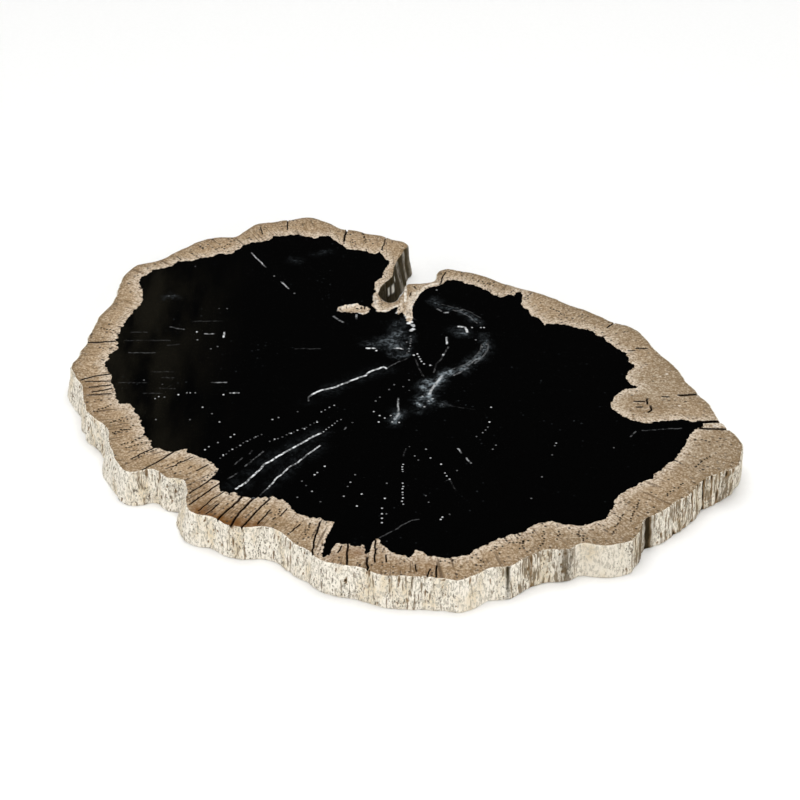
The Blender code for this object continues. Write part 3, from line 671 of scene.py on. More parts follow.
def inside(places: np.ndarray, loop: np.ndarray) -> np.ndarray:
    """Whether points lie in a closed loop: a ray to the right crosses it an odd number of times.

    Args:
        places: one row for each point.
        loop: corners of the loop, one row each.

    Returns:
        True for the points inside.
    """
    start = loop
    end = np.roll(loop, -1, axis=0)
    odd = np.zeros(len(places), bool)
    rise = np.where(end[:, 1] == start[:, 1], 1e-12, end[:, 1] - start[:, 1])
    for rows in np.array_split(np.arange(len(places)), max(1, len(places) * len(loop) // CHUNK)):
        x = places[rows, 0][:, None]
        y = places[rows, 1][:, None]
        crosses = (start[:, 1] > y) != (end[:, 1] > y)
        left = x < start[:, 0] + (y - start[:, 1]) / rise * (end[:, 0] - start[:, 0])
        odd[rows] = (crosses & left).sum(axis=1) % 2 == 1
    return odd


def signed_distance(places: np.ndarray, loop: np.ndarray) -> np.ndarray:
    """Distance to a closed loop, positive inside it and negative outside."""
    gap, _ = to_line(places, np.vstack((loop, loop[:1])))
    return np.where(inside(places, loop), gap, -gap)


def patches(places: np.ndarray, spots: tuple[Patch, ...]) -> np.ndarray:
    """The strongest of some soft round areas: strength times exp(-(distance/reach)^2).

    Args:
        places: points in plan.
        spots: the areas.

    Returns:
        A number for each point.
    """
    best = np.zeros(len(places))
    for spot in spots:
        gap = np.hypot(*(places - on_model((spot.x, spot.y))).T)
        best = np.maximum(best, spot.strength * np.exp(-((gap / spot.reach) ** 2)))
    return best


def scattered(low: np.ndarray, high: np.ndarray, step: float, seed: int) -> np.ndarray:
    """Points over a rectangle: a grid, odd rows shifted by half a step, each point jogged.

    Args:
        low: the rectangle's lowest corner.
        high: its highest corner.
        step: between points.
        seed: which random jogs.

    Returns:
        The points.
    """
    draw = np.random.default_rng(seed)
    rise = step * math.sqrt(3) / 2
    column, row = np.meshgrid(np.arange(low[0], high[0], step), np.arange(low[1], high[1], rise))
    column = column + step / 2 * (np.arange(len(row)) % 2)[:, None]
    grid = np.column_stack((column.ravel(), row.ravel()))
    return grid + draw.uniform(-0.22, 0.22, grid.shape) * step


@dataclass
class Shell:
    """Part of the stone's skin.

    Attributes:
        places: vertices, mm.
        corners: three or four vertex numbers a face.
        surface: the finish number of each face.
    """

    places: np.ndarray
    corners: np.ndarray
    surface: np.ndarray


@dataclass
class Outline:
    """The slice's edge in plan, with its normals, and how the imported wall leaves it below.

    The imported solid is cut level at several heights. The cut just under the deepest crack is
    resampled and smoothed into the edge, and every column of the wall keeps the distance along
    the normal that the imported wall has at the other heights.
    """

    edge_height: float = 19.5
    lower_heights: tuple[float, ...] = (0.9, 5.9, 11.0, 16.1)
    smoothing: float = 0.9        # the blur's reach
    section_step: float = 0.5     # between the points that are blurred
    column_step: float = 0.95
    fine_step: float = 0.3        # between columns at a crack or a gouge
    fine_reach: float = 1.1
    reach: float = 14.0           # the most that a section may stand off from the edge
    points: np.ndarray = field(init=False)
    normals: np.ndarray = field(init=False)
    offsets: np.ndarray = field(init=False)

    def __post_init__(self) -> None:
        """Read the sections and place the columns."""
        edge = self.smoothed(self.section(self.edge_height))
        self.points = self.columns(edge)
        self.normals = sideways(self.points, closed=True)
        levels = [self.gap_to(self.smoothed(self.section(height))) for height in self.lower_heights]
        self.offsets = np.array(levels)

    def section(self, height: float) -> np.ndarray:
        """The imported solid's outline at a height, anticlockwise, mm.

        Args:
            height: where the solid is cut level, mm.

        Returns:
            The largest loop of the cut.
        """
        solid = bmesh.new()
        solid.from_mesh(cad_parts[NODE].data)
        bmesh.ops.remove_doubles(solid, verts=solid.verts[:], dist=WELD * MM)
        bmesh.ops.bisect_plane(
            solid,
            geom=solid.verts[:] + solid.edges[:] + solid.faces[:],
            dist=WELD * MM,
            plane_co=(0, 0, height * MM),
            plane_no=(0, 0, 1),
            clear_inner=True,
            clear_outer=True,
        )
        bmesh.ops.edgeloop_fill(solid, edges=solid.edges[:])
        largest = max(solid.faces, key=lambda face: face.calc_area())
        loop = np.array([vertex.co.xy for vertex in largest.verts]) / MM
        solid.free()
        following = np.roll(loop, -1, axis=0)
        area = (loop[:, 0] * following[:, 1] - following[:, 0] * loop[:, 1]).sum()
        return loop if area > 0 else loop[::-1]

    def smoothed(self, loop: np.ndarray) -> np.ndarray:
        """A closed loop at an even step, blurred along itself by damping its finer waves.

        Args:
            loop: its points.

        Returns:
            The blurred points.
        """
        fine = resampled(np.vstack((loop, loop[:1])), self.section_step)[:-1]
        waves = np.fft.fft(fine[:, 0] + 1j * fine[:, 1])
        pitch = np.fft.fftfreq(len(fine), self.section_step)
        calm = np.fft.ifft(waves * np.exp(-2 * (np.pi * pitch * self.smoothing) ** 2))
        return np.column_stack((calm.real, calm.imag))

    def columns(self, edge: np.ndarray) -> np.ndarray:
        """Points along the edge, closer together where a crack or a gouge meets it.

        Args:
            edge: the smoothed loop.

        Returns:
            One point for each column of the wall.
        """
        closed = np.vstack((edge, edge[:1]))
        gap = np.full(len(closed), np.inf)
        for crack in CRACKS:
            gap = np.minimum(gap, to_line(closed, on_model(crack.places))[0])
        for x, y, _, _ in GOUGES:
            gap = np.minimum(gap, np.hypot(*(closed - on_model((x, y))).T))
        crowding = np.exp(-((gap / self.fine_reach) ** 2))
        density = 1 / self.column_step + (1 / self.fine_step - 1 / self.column_step) * crowding
        length = running_length(closed)
        filled = np.append(0, ((density[1:] + density[:-1]) / 2 * np.diff(length)).cumsum())
        even = np.linspace(0, filled[-1], round(filled[-1]), endpoint=False)
        return points_at(closed, np.interp(even, filled, length))

    def gap_to(self, loop: np.ndarray) -> np.ndarray:
        """Distance along each column's normal to the nearest crossing with another section.

        Args:
            loop: that section.

        Returns:
            For each column, the mean of five neighbours' medians of seven.
        """
        piece = np.roll(loop, -1, axis=0) - loop
        offset = loop - self.points[:, None]
        out_x, out_y = self.normals[:, None, 0], self.normals[:, None, 1]
        turn = out_x * piece[:, 1] - out_y * piece[:, 0]
        turn = np.where(np.abs(turn) < 1e-9, 1e-9, turn)
        away = (offset[..., 0] * piece[:, 1] - offset[..., 1] * piece[:, 0]) / turn
        share = (offset[..., 0] * out_y - offset[..., 1] * out_x) / turn
        away = np.where((share >= 0) & (share <= 1) & (np.abs(away) < self.reach), away, np.inf)
        nearest = np.take_along_axis(away, np.abs(away).argmin(axis=1)[:, None], axis=1)[:, 0]
        nearest = np.where(np.isfinite(nearest), nearest, 0.0)
        middle = np.median([np.roll(nearest, k) for k in range(-3, 4)], axis=0)
        return np.mean([np.roll(middle, k) for k in range(-2, 3)], axis=0)


@dataclass
class CrackedFace:
    """What the sawn top face has below its plane: cracks and the hollow."""

    step: float = 0.45
    wander: float = 0.35
    wander_length: float = 3.0
    least_taper: float = 0.55     # of a crack's depth, left at its inner tip
    pit_spacing: float = 2.1
    pit_wander: float = 0.9
    pit_wander_length: float = 1.7
    pit_radius: float = 0.8
    pit_jog: float = 0.6
    pit_shade: float = 0.85
    level_margin: float = 0.6     # beside the core, where nothing sinks, and again to full sink

    def courses(self) -> list[tuple[Crack, np.ndarray]]:
        """Each crack with its wandering course over the model."""
        return [
            (crack, wandering(
                on_model(crack.places), self.step, self.wander, self.wander_length, 40 + number))
            for number, crack in enumerate(CRACKS)
        ]

    def pits(self) -> np.ndarray:
        """The pits of the rows, a little off their line.

        Returns:
            One place each.
        """
        rows = [
            wandering(
                on_model(row), self.pit_spacing, self.pit_wander, self.pit_wander_length, 300 + number)
            for number, row in enumerate(PIT_ROWS)
        ]
        found = np.vstack(rows)
        return found + np.random.default_rng(17).uniform(-self.pit_jog, self.pit_jog, found.shape)

    def sunk(self, places: np.ndarray) -> tuple[np.ndarray, np.ndarray]:
        """How far cracks and the hollow sink the face at some places, and how cracked it is there.

        A crack is a V across its course: depth times (1 - distance/half width), less towards its
        inner tip. The hollow is a bowl: depth times (1 - q)^0.7, q the squared ellipse radius.
        Nothing sinks in the core, whose black stone is whole, nor close beside it.

        Args:
            places: points in plan.

        Returns:
            Sink in mm, and 0 to 1 for how much of a crack is there.
        """
        sink = np.zeros(len(places))
        open_share = np.zeros(len(places))
        for crack, course in self.courses():
            near = self.near(places, course, 2.0)
            gap, along = to_line(places[near], course)
            length = np.hypot(*np.diff(course, axis=0).T).sum()
            taper = np.clip(1.25 * (1 - along / length), self.least_taper, 1)
            share = np.clip(1 - gap / crack.half_width, 0, 1) * taper
            sink[near] = np.maximum(sink[near], crack.depth * share)
            # open_share: how much dirt and painted shade a crack or pit gets
            shade = np.clip((1.1 - gap / crack.half_width) / 0.55, 0, 1)
            open_share[near] = np.maximum(open_share[near], shade * np.clip(2 * taper, 0, 1))
        for pit in self.pits():
            near = self.near(places, pit[None], 2 * self.pit_radius)
            share = np.clip(2.2 - 2.2 * np.hypot(*(places[near] - pit).T) / self.pit_radius, 0, 1)
            open_share[near] = np.maximum(open_share[near], self.pit_shade * share)
        turn = np.array(Matrix.Rotation(HOLLOW_TURN, 2))
        within = ((places - on_model(HOLLOW_MIDDLE)) @ turn / HOLLOW_HALF_SIZE) ** 2
        bowl = HOLLOW_DEPTH * np.clip(1 - within.sum(axis=1), 0, 1) ** 0.7
        bowl *= 0.85 + 0.15 * rough_noise(places / 2.0, 5)
        from_core = np.maximum(
            -signed_distance(places, on_model(CORE_BORDER)), signed_distance(places, on_model(ISLAND)))
        free = np.clip((from_core - self.level_margin) / self.level_margin, 0, 1)
        return np.maximum(sink, bowl) * free, open_share

    @staticmethod
    def near(places: np.ndarray, course: np.ndarray, margin: float) -> np.ndarray:
        """The numbers of the places in a line's bounding box, with a margin.

        Args:
            places: points in plan.
            course: points of the line.
            margin: mm.

        Returns:
            Row numbers.
        """
        low = course.min(axis=0) - margin
        high = course.max(axis=0) + margin
        return np.flatnonzero(((places > low) & (places < high)).all(axis=1))


@dataclass
class Silica:
    """The pale silica in the core, from the marks above."""

    feather: float = 0.28
    bead_spacing: float = 2.7
    bead_wander: float = 0.35
    bead_jog: float = 0.35
    line_step: float = 0.42
    line_wander: float = 0.3
    raggedness: float = 0.25      # of a dot's width, drawn in by noise
    screen_curve: float = 2.2     # from a mark's brightness as it looks to linear light

    def drawn(self) -> list[tuple[Mark, np.ndarray]]:
        """Each mark with its course over the model, lines a little unsteady, beads spaced out.

        Returns:
            The marks, in order, each with its points.
        """
        courses = []
        for number, mark in enumerate(MARKS):
            places = on_model(mark.places)
            if mark.stroke is Stroke.BEADS:
                places = wandering(places, self.bead_spacing, self.bead_wander, 2.0, 100 + number)
                draw = np.random.default_rng(number)
                places += draw.uniform(-self.bead_jog, self.bead_jog, places.shape)
            elif mark.stroke is not Stroke.FLECK:
                places = wandering(places, self.line_step, self.line_wander, 3.5, 100 + number)
            courses.append((mark, places))
        return courses

    def rows(self) -> np.ndarray:
        """Mesh points that lines and dots need: rows beside each line, rings round each dot.

        Returns:
            The points, in plan.
        """
        found = []
        for mark, course in self.drawn():
            half = mark.width / 2
            if mark.stroke in (Stroke.FLECK, Stroke.BEADS):
                found.append(dots(course, (0.5 * half, half, half + self.feather)))
            elif mark.stroke is Stroke.VEIN:
                outer = half + self.feather
                found.append(beside(course, (0, half, -half, outer, -outer)))
        return np.vstack(found)

    def amounts(self, places: np.ndarray) -> tuple[np.ndarray, np.ndarray]:
        """How white and how smoky the core is at some places.

        A line or dot is full inside its half width and fades over the feather. Its strength is
        raised to the power of 2.2, as a screen does. Noise makes it brighter here and there, and
        draws in the edges of dots. A wisp is strength times exp(-(distance/width)^2), broken up by
        noise.

        Args:
            places: points in plan.

        Returns:
            Whiteness and smokiness, 0 to 1.
        """
        white = np.zeros(len(places))
        smoke = np.zeros(len(places))
        for mark, course in self.drawn():
            near = CrackedFace.near(places, course, 3 * mark.width + 1)
            spots = places[near]
            if not len(near):
                continue
            if mark.stroke in (Stroke.FLECK, Stroke.BEADS):
                gaps = np.array([np.hypot(*(spots - dot).T) for dot in course])
                ragged = np.clip(lattice_noise(spots / 0.7, 12), 0, 1)
                gap = gaps.min(axis=0) + self.raggedness * mark.width * ragged
                bright = 0.75 + 0.5 * lattice_noise(course[gaps.argmin(axis=0)] * 3.7, 8)
            else:
                gap, _ = to_line(spots, course)
                bright = 0.6 + 1.05 * lattice_noise(spots / 1.15, 9)
            if mark.stroke is Stroke.WISP:
                torn = np.clip(0.7 + 1.0 * rough_noise(spots / 3.4, 7, 2), 0.05, 1.8)
                soft = mark.strength * np.exp(-((gap / mark.width) ** 2)) * torn
                smoke[near] = np.maximum(smoke[near], soft)
                continue
            full = np.clip(1 + (mark.width / 2 - gap) / self.feather, 0, 1)
            seen = mark.strength**self.screen_curve * np.clip(bright, 0.15, 1)
            white[near] = np.maximum(white[near], full * seen)
        return white, smoke


@dataclass
class FlatFace:
    """A sawn face of the slice, filled from its edge inwards with triangles.

    Free points are strewn at a spacing that follows what lies there, and joined by a Delaunay
    triangulation that keeps the edge, the core's border and the island as edges of triangles.
    """

    rind_step: float
    core_step: float
    smoke_step: float
    border_step: float
    finishes: tuple[Surface, Surface]
    detailed: bool                # whether silica, cracks and pits have mesh points of their own
    seed: int
    tooth_rate: float = 85.0      # the teeth's noise round the pith, for each radian
    tooth_reach: float = 0.5      # mm, everywhere
    long_tooth_reach: float = 1.2    # more, where the border is toothed
    crumb_size: float = 0.9       # of the finer noise on the teeth
    crumb_reach: float = 0.6

    def filled(self, edge: np.ndarray, silica: Silica, cracked: CrackedFace) -> Shell:
        """Triangles over the face, in plan, with heights left at nought.

        Args:
            edge: the face's own outline, anticlockwise.
            silica: for the points that its lines need.
            cracked: for the points that the cracks need.

        Returns:
            The shell, whose places have two columns.
        """
        border = self.toothed(CORE_BORDER, 20)
        island = self.toothed(ISLAND, 30)
        free = [self.strewn(edge, border, island, silica)]
        if self.detailed:
            free.append(silica.rows())
            for crack, course in cracked.courses():
                slope, rim = 0.55 * crack.half_width, 1.1 * crack.half_width
                free.append(beside(course, (0, slope, -slope, rim, -rim)))
            free.append(dots(cracked.pits(), (0.55 * cracked.pit_radius, cracked.pit_radius)))
            coarse = edge[::3]
            strokes = np.vstack(free[1:])
            free[1:] = [strokes[signed_distance(strokes, coarse) > 0.35]]
        loops = [edge, border, island]
        places = np.vstack(loops + free)
        faces = []
        first = 0
        for loop in loops:
            faces.append(list(range(first, first + len(loop))))
            first += len(loop)
        found, _, corners, _, _, owners = delaunay_2d_cdt(places.tolist(), [], faces, 1, 1e-4, True)
        nesting = np.array([len(owner) for owner in owners])
        core, rind = self.finishes
        surface = np.where(nesting == 2, core.value, rind.value)
        kept = nesting > 0
        return Shell(np.array(found, float), np.array(corners)[kept], surface[kept])

    def toothed(self, line: Line, seed: int) -> np.ndarray:
        """A closed line with a silica front's teeth: noise by ray and by place pushes it sideways.

        Args:
            line: its corners, mm from the pith.
            seed: which noise.

        Returns:
            The toothed loop, anticlockwise.
        """
        corners = on_model(line)[::-1]
        fine = resampled(np.vstack((corners, corners[:1])), self.border_step)[:-1]
        from_pith = fine - on_model(PITH)
        ray = from_pith / np.hypot(*from_pith.T)[:, None]
        reach = self.tooth_reach + self.long_tooth_reach * patches(fine, TOOTHED)
        teeth = reach * lattice_noise(ray * self.tooth_rate, seed)
        push = teeth + self.crumb_reach * lattice_noise(fine / self.crumb_size, seed + 1)
        return fine + sideways(fine, closed=True) * push[:, None]

    def strewn(self, edge: np.ndarray, border: np.ndarray, island: np.ndarray,
               silica: Silica) -> np.ndarray:
        """Free points: close in the rind, closer still in smoke, wide apart in plain black.

        Args:
            edge: the face's own outline.
            border: the core's border.
            island: the border of the rind's island in the core.
            silica: tells where smoke is.

        Returns:
            The points, one row each.
        """
        low = edge.min(axis=0)
        high = edge.max(axis=0)
        coarse_edge = edge[::3]
        coarse_border = border[::4]
        fine = scattered(low, high, self.rind_step, self.seed)
        in_slice = signed_distance(fine, coarse_edge)
        fine = fine[in_slice > 0.6 * self.rind_step]
        in_core = signed_distance(fine, coarse_border)
        rind = fine[in_core < -0.5 * self.rind_step]
        hollow = scattered(island.min(axis=0), island.max(axis=0), 0.8 * self.rind_step, self.seed + 1)
        hollow = hollow[inside(hollow, island)]
        core = scattered(low, high, self.core_step, self.seed + 2)
        core = core[signed_distance(core, coarse_border) > 0.7 * self.core_step]
        found = [rind, hollow, core]
        if self.detailed:
            smoky = scattered(low, high, self.smoke_step, self.seed + 3)
            _, smoke = silica.amounts(smoky)
            smoky = smoky[smoke > 0.015]
            found.append(smoky[signed_distance(smoky, coarse_border) > 0.5 * self.smoke_step])
        return np.vstack(found)


@dataclass
class BarkWall:
    """The wall of the slice: the old bark side, chalky, fluted along the grain and pitted.

    A point of it is the outline's point for its column, plus its normal times the sum of the
    packed wall's overhang, the worn edges' draw-in, fine flutes, pits and gouges.
    """

    rows: int = 24
    worn: tuple[tuple[float, float], ...] = ((0.0, 0.75), (0.25, 0.3), (0.8, 0.0))    # height, draw-in
    flute_size: float = 2.6
    flute_depth: float = 0.55
    flute_rise: float = 0.16      # how much slower flutes change upwards than along the wall
    pit_size: float = 1.05
    pit_depth: float = 0.6
    pit_rise: float = 0.45
    slot_size: float = 1.1        # narrow upright pits among the flutes
    gouge_sway: float = 0.5
    notch_height: float = 6.0     # from the top, over which a crack's notch dies out
    edge_band: float = 1.2        # by the worn edges, where the relief is flatter
    edge_relief: float = 0.35

    def heights(self) -> tuple[np.ndarray, np.ndarray]:
        """Heights of the rows as shares of the thickness, and how far each is drawn in, mm.

        Returns:
            Two arrays, from the foot to the top.
        """
        low, draw = np.array(self.worn).T
        middle = np.linspace(low[-1], THICKNESS - low[-1], self.rows)[1:-1]
        height = np.concatenate((low, middle, THICKNESS - low[::-1]))
        return height / THICKNESS, np.concatenate((draw, np.zeros(len(middle)), draw[::-1]))

    def relief(self, plan: np.ndarray, height: np.ndarray) -> tuple[np.ndarray, np.ndarray]:
        """Fine relief on the wall, outwards, and how deep in a pit or gouge each point is.

        Args:
            plan: plan place of every grid point.
            height: height of every grid point, mm.

        Returns:
            Relief in mm, and 0 to 1 for hollowness, both in the grid's shape.
        """
        stretched = np.dstack((plan, height[..., None] * self.flute_rise))
        flutes = rough_noise(stretched / self.flute_size, 60, 3)
        crumbs = np.dstack((plan, height[..., None] * self.pit_rise))
        pits = np.clip(lattice_noise(crumbs / self.pit_size, 70) - 0.5, 0, 1) / 0.5
        slots = np.clip(rough_noise(stretched / self.slot_size, 80, 2) - 0.75, 0, 1) / 0.5
        pits = np.maximum(pits, slots)
        flat = plan.reshape(-1, 2)
        calm = 1 - patches(flat, SMOOTH_WALL).reshape(height.shape)
        gouged = np.zeros(len(flat))
        sway = self.gouge_sway * lattice_noise(height.reshape(-1, 1) / 5.0, 3)
        for x, y, half_width, depth in GOUGES:
            gap = np.hypot(*(flat - on_model((x, y))).T)
            near = gap < 6 * half_width + 6
            up = np.column_stack((np.full(near.sum(), x), height.reshape(-1)[near] / 6))
            fade = 0.7 + 0.45 * lattice_noise(up, 11)
            share = np.exp(-((gap[near] + sway[near]) / half_width) ** 2) * fade
            gouged[near] = np.maximum(gouged[near], depth * share)
        gouged = gouged.reshape(height.shape)
        relief = self.flute_depth * calm * flutes - self.pit_depth * calm * pits - gouged
        # the flutes' troughs count as hollow, so the finish paints shade in them
        furrows = 0.25 * np.clip(-flutes, 0, 1) * calm
        return relief, np.clip(np.maximum(pits * calm, gouged / 1.1) + furrows, 0, 1)

    @staticmethod
    def chips(plan: np.ndarray, height: np.ndarray) -> np.ndarray:
        """How much of a pale splinter each point shows, from its plan place and its height.

        Args:
            plan: points in plan.
            height: of each, mm.

        Returns:
            0 to 1 for each point.
        """
        share = np.zeros(len(plan))
        for x, y, half_width, low, high in PALE_CHIPS:
            across = np.hypot(*(plan - on_model((x, y))).T) / half_width
            ends = np.clip(np.minimum(height - low, high - height) + 0.5, 0, 1)
            share = np.maximum(share, ends * np.exp(-(across**4)))
        return share

    def grid(self, outline: Outline, cracked: CrackedFace) -> tuple[Shell, np.ndarray, np.ndarray]:
        """The wall as rows from foot to top, with the hollowness of its points.

        Args:
            outline: the slice's edge.
            cracked: gives the notch of a crack in the top edge.

        Returns:
            The wall, the plan of its top row and bottom row stacked, and the hollowness.
        """
        share, draw = self.heights()
        knots = np.append(np.array(outline.lower_heights), outline.edge_height) / THICKNESS
        known = np.vstack((outline.offsets, np.zeros(len(outline.points))))
        slot = np.clip(np.searchsorted(knots, share) - 1, 0, len(knots) - 2)
        blend = np.clip((share - knots[slot]) / (knots[slot + 1] - knots[slot]), 0, 1)[:, None]
        overhang = known[slot] * (1 - blend) + known[slot + 1] * blend
        plan = outline.points + (overhang - draw[:, None])[..., None] * outline.normals
        height = np.repeat(share[:, None] * THICKNESS, len(outline.points), axis=1)
        relief, hollowness = self.relief(plan, height)
        ends = np.clip(np.minimum(share, 1 - share) * THICKNESS / self.edge_band, 0, 1)[:, None]
        whole = self.edge_relief + (1 - self.edge_relief) * ends
        plan = plan + (relief * whole)[..., None] * outline.normals
        sink, _ = cracked.sunk(plan[-1])
        notch = np.clip((height - (THICKNESS - self.notch_height)) / self.notch_height, 0, 1)
        height = height - sink * notch**1.5
        places = np.dstack((plan, height)).reshape(-1, 3)
        rows, columns = height.shape
        number = np.arange(rows * columns).reshape(rows, columns)
        right = np.roll(number, -1, axis=1)
        corners = np.stack((number[:-1], right[:-1], right[1:], number[1:]), axis=-1).reshape(-1, 4)
        surface = np.full(len(corners), Surface.BARK.value)
        return Shell(places, corners, surface), plan[[-1, 0]], hollowness.reshape(-1)


class Step(Enum):
    """The nodes that the finishes are built of.

    Each is the node's type, its settings, the inputs that are given in order, and its output. An
    input or output goes by its name or its number.
    """

    PLACE = ("ShaderNodeTexCoord", {}, (), "Object")
    READ = ("ShaderNodeAttribute", {}, ("attribute_name",), "Fac")
    TIMES = ("ShaderNodeMath", {"operation": "MULTIPLY"}, (0, 1), 0)
    PLUS = ("ShaderNodeMath", {"operation": "ADD"}, (0, 1), 0)
    MINUS = ("ShaderNodeMath", {"operation": "SUBTRACT"}, (0, 1), 0)
    RAMP = ("ShaderNodeMapRange", {"interpolation_type": "SMOOTHSTEP"},
            ("Value", "From Min", "From Max", "To Max"), "Result")
    LAY = ("ShaderNodeMix", {"data_type": "RGBA"}, (6, 7, 0), 2)
    NOISE = ("ShaderNodeTexNoise", {"Scale": 1.0}, ("Vector", "Detail", "Roughness"), "Fac")
    CELLS = ("ShaderNodeTexVoronoi", {"Scale": 1.0}, ("Vector",), "Distance")
    STRETCH = ("ShaderNodeVectorMath", {"operation": "MULTIPLY"}, (0, 1), 0)
    TOGETHER = ("ShaderNodeVectorMath", {"operation": "ADD"}, (0, 1), 0)
    AWAY_FROM = ("ShaderNodeVectorMath", {"operation": "SUBTRACT"}, (0, 1), 0)
    DIRECTION = ("ShaderNodeVectorMath", {"operation": "NORMALIZE"}, (0,), 0)
    LENGTH = ("ShaderNodeVectorMath", {"operation": "LENGTH"}, (0,), "Value")
    UPRIGHT = ("ShaderNodeCombineXYZ", {}, ("Z",), 0)
    ALONG_X = ("ShaderNodeSeparateXYZ", {}, (0,), "X")
    ALONG_Y = ("ShaderNodeSeparateXYZ", {}, (0,), "Y")
    BUMP = ("ShaderNodeBump", {}, ("Height", "Distance"), "Normal")


@dataclass
class Paint:
    """A material's node tree, and the place in mm by which its patterns are laid out."""

    name: str
    roughness: float
    ior: float
    material: bpy.types.Material = field(init=False)
    tree: bpy.types.NodeTree = field(init=False)
    shader: bpy.types.Node = field(init=False)
    place: bpy.types.NodeSocket = field(init=False)

    def __post_init__(self) -> None:
        """Start the material, and read the object's own coordinates in millimetres."""
        self.material = bpy.data.materials.new(self.name)
        self.material.use_nodes = True
        self.tree = self.material.node_tree
        self.shader = self.tree.nodes["Principled BSDF"]
        self.shader.inputs["Roughness"].default_value = self.roughness
        self.shader.inputs["IOR"].default_value = self.ior
        self.place = self.add(Step.STRETCH, self.add(Step.PLACE), (1 / MM,) * 3)

    def add(self, step: Step, *given: Given) -> bpy.types.NodeSocket:
        """Add a node with its settings, and give its inputs their values or links in order.

        Args:
            step: which node.
            given: for each of its inputs a value, a hex colour or the output of another node.

        Returns:
            The node's output.
        """
        kind, settings, inputs, output = step.value
        added = self.tree.nodes.new(kind)
        for name, value in [*settings.items(), *zip(inputs, given)]:
            if isinstance(value, bpy.types.NodeSocket):
                self.tree.links.new(value, added.inputs[name])
            elif isinstance(name, str) and hasattr(added, name):
                setattr(added, name, value)
            else:
                plain = linear(value) if isinstance(value, str) else value
                added.inputs[name].default_value = plain
        return added.outputs[output]

    def mottle(self, size: Size, detail: float = 3.0, roughness: float = 0.55) -> bpy.types.NodeSocket:
        """Soft noise whose blotches have that size in mm along X, Y and Z."""
        at = self.add(Step.STRETCH, self.place, tuple(1 / length for length in size))
        return self.add(Step.NOISE, at, detail, roughness)

    def strewn(self, at: bpy.types.NodeSocket, edge: Band, share: Band,
               area: bpy.types.NodeSocket) -> bpy.types.NodeSocket:
        """Specks in the middle of some cells of a pattern: 1 + edge step, times share step, times area.

        Args:
            at: the place, in cells.
            edge: the step over the distance from a cell's middle, down to -1.
            share: the step over the cell's own random number, so that some cells stay empty.
            area: how much of the specks shows in each area.

        Returns:
            How much of a speck is at each point.
        """
        gap = self.add(Step.CELLS, at)
        speck = self.add(Step.PLUS, self.add(Step.RAMP, gap, *edge), 1.0)
        number = self.add(Step.ALONG_X, gap.node.outputs["Color"])
        chosen = self.add(Step.TIMES, self.add(Step.RAMP, number, *share), area)
        return self.add(Step.TIMES, speck, chosen)

    def finish(self, colour: bpy.types.NodeSocket, bump: bpy.types.NodeSocket | None = None,
               height: float = 0.1) -> bpy.types.Material:
        """Feed the shader its colour and, if given, its bumps.

        Args:
            colour: for the base colour.
            bump: the bumps' pattern.
            height: of the bumps, mm.

        Returns:
            The material.
        """
        self.tree.links.new(colour, self.shader.inputs["Base Color"])
        if bump is not None:
            self.tree.links.new(self.add(Step.BUMP, bump, height * MM), self.shader.inputs["Normal"])
        return self.material


@dataclass(frozen=True)
class AgatisedCore:
    """Black agatised wood, ground and hand polished: a deep gloss over near black.

    Silica in its gaps shows as white lines and dots, and as blue-grey smoke where it is thin.
    """

    black: str = "#020202"
    warm_black: str = "#181610"
    smoke: str = "#8d979d"
    silica: str = "#f6f8f9"
    roughness: float = 0.07
    ior: float = 1.54
    warm_reach: Band = (85.0, 175.0)          # mm to the left of the middle
    warm_size: Size = (16, 60, 10)
    warm_band: Band = (0.35, 0.7)
    tear_size: Size = (1.9, 1.9, 1.9)         # tatters of the smoke
    tear_band: Band = (0.4, 0.66, 1.9)
    tear_floor: float = 0.12
    grain_size: Size = (0.7, 0.7, 0.7)        # crystals in a filled gap
    grain_band: Band = (0.1, 0.5)
    prick_spacing: float = 4.2                # specks that stand alone
    prick_edge: Band = (0.1, 0.17, -1.0)
    prick_share: Band = (0.5, 1.0, 0.07)
    prick_area: Size = (45, 45, 45)
    prick_area_band: Band = (0.48, 0.62)

    def material(self) -> bpy.types.Material:
        """Near black, warmer to the left, with the smoke, the specks and the white silica over it.

        Returns:
            The material.
        """
        paint = Paint("polished_agatised_core", self.roughness, self.ior)
        left = paint.add(Step.TIMES, paint.add(Step.ALONG_X, paint.place), -1.0)
        warm = paint.add(Step.RAMP, paint.mottle(self.warm_size), *self.warm_band)
        warm = paint.add(Step.TIMES, paint.add(Step.RAMP, left, *self.warm_reach), warm)
        colour = paint.add(Step.LAY, self.black, self.warm_black, warm)
        torn = paint.add(Step.RAMP, paint.mottle(self.tear_size, 3.0, 0.75), *self.tear_band)
        torn = paint.add(Step.PLUS, torn, self.tear_floor)
        smoke = paint.add(Step.TIMES, paint.add(Step.READ, "smoke"), torn)
        colour = paint.add(Step.LAY, colour, self.smoke, smoke)
        colour = paint.add(Step.LAY, colour, self.smoke, self.pinpricks(paint))
        grain = paint.add(Step.RAMP, paint.mottle(self.grain_size, 2.0), *self.grain_band)
        white = paint.add(Step.TIMES, paint.add(Step.READ, "white"), grain)
        return paint.finish(paint.add(Step.LAY, colour, self.silica, white))

    def pinpricks(self, paint: Paint) -> bpy.types.NodeSocket:
        """Dim specks of silica, strewn in some areas.

        Args:
            paint: the material.

        Returns:
            How much of a speck is at each point.
        """
        pitch = 1 / self.prick_spacing
        at = paint.add(Step.STRETCH, paint.place, (pitch, pitch, 0))
        area = paint.add(Step.RAMP, paint.mottle(self.prick_area, 2.0), *self.prick_area_band)
        return paint.strewn(at, self.prick_edge, self.prick_share, area)


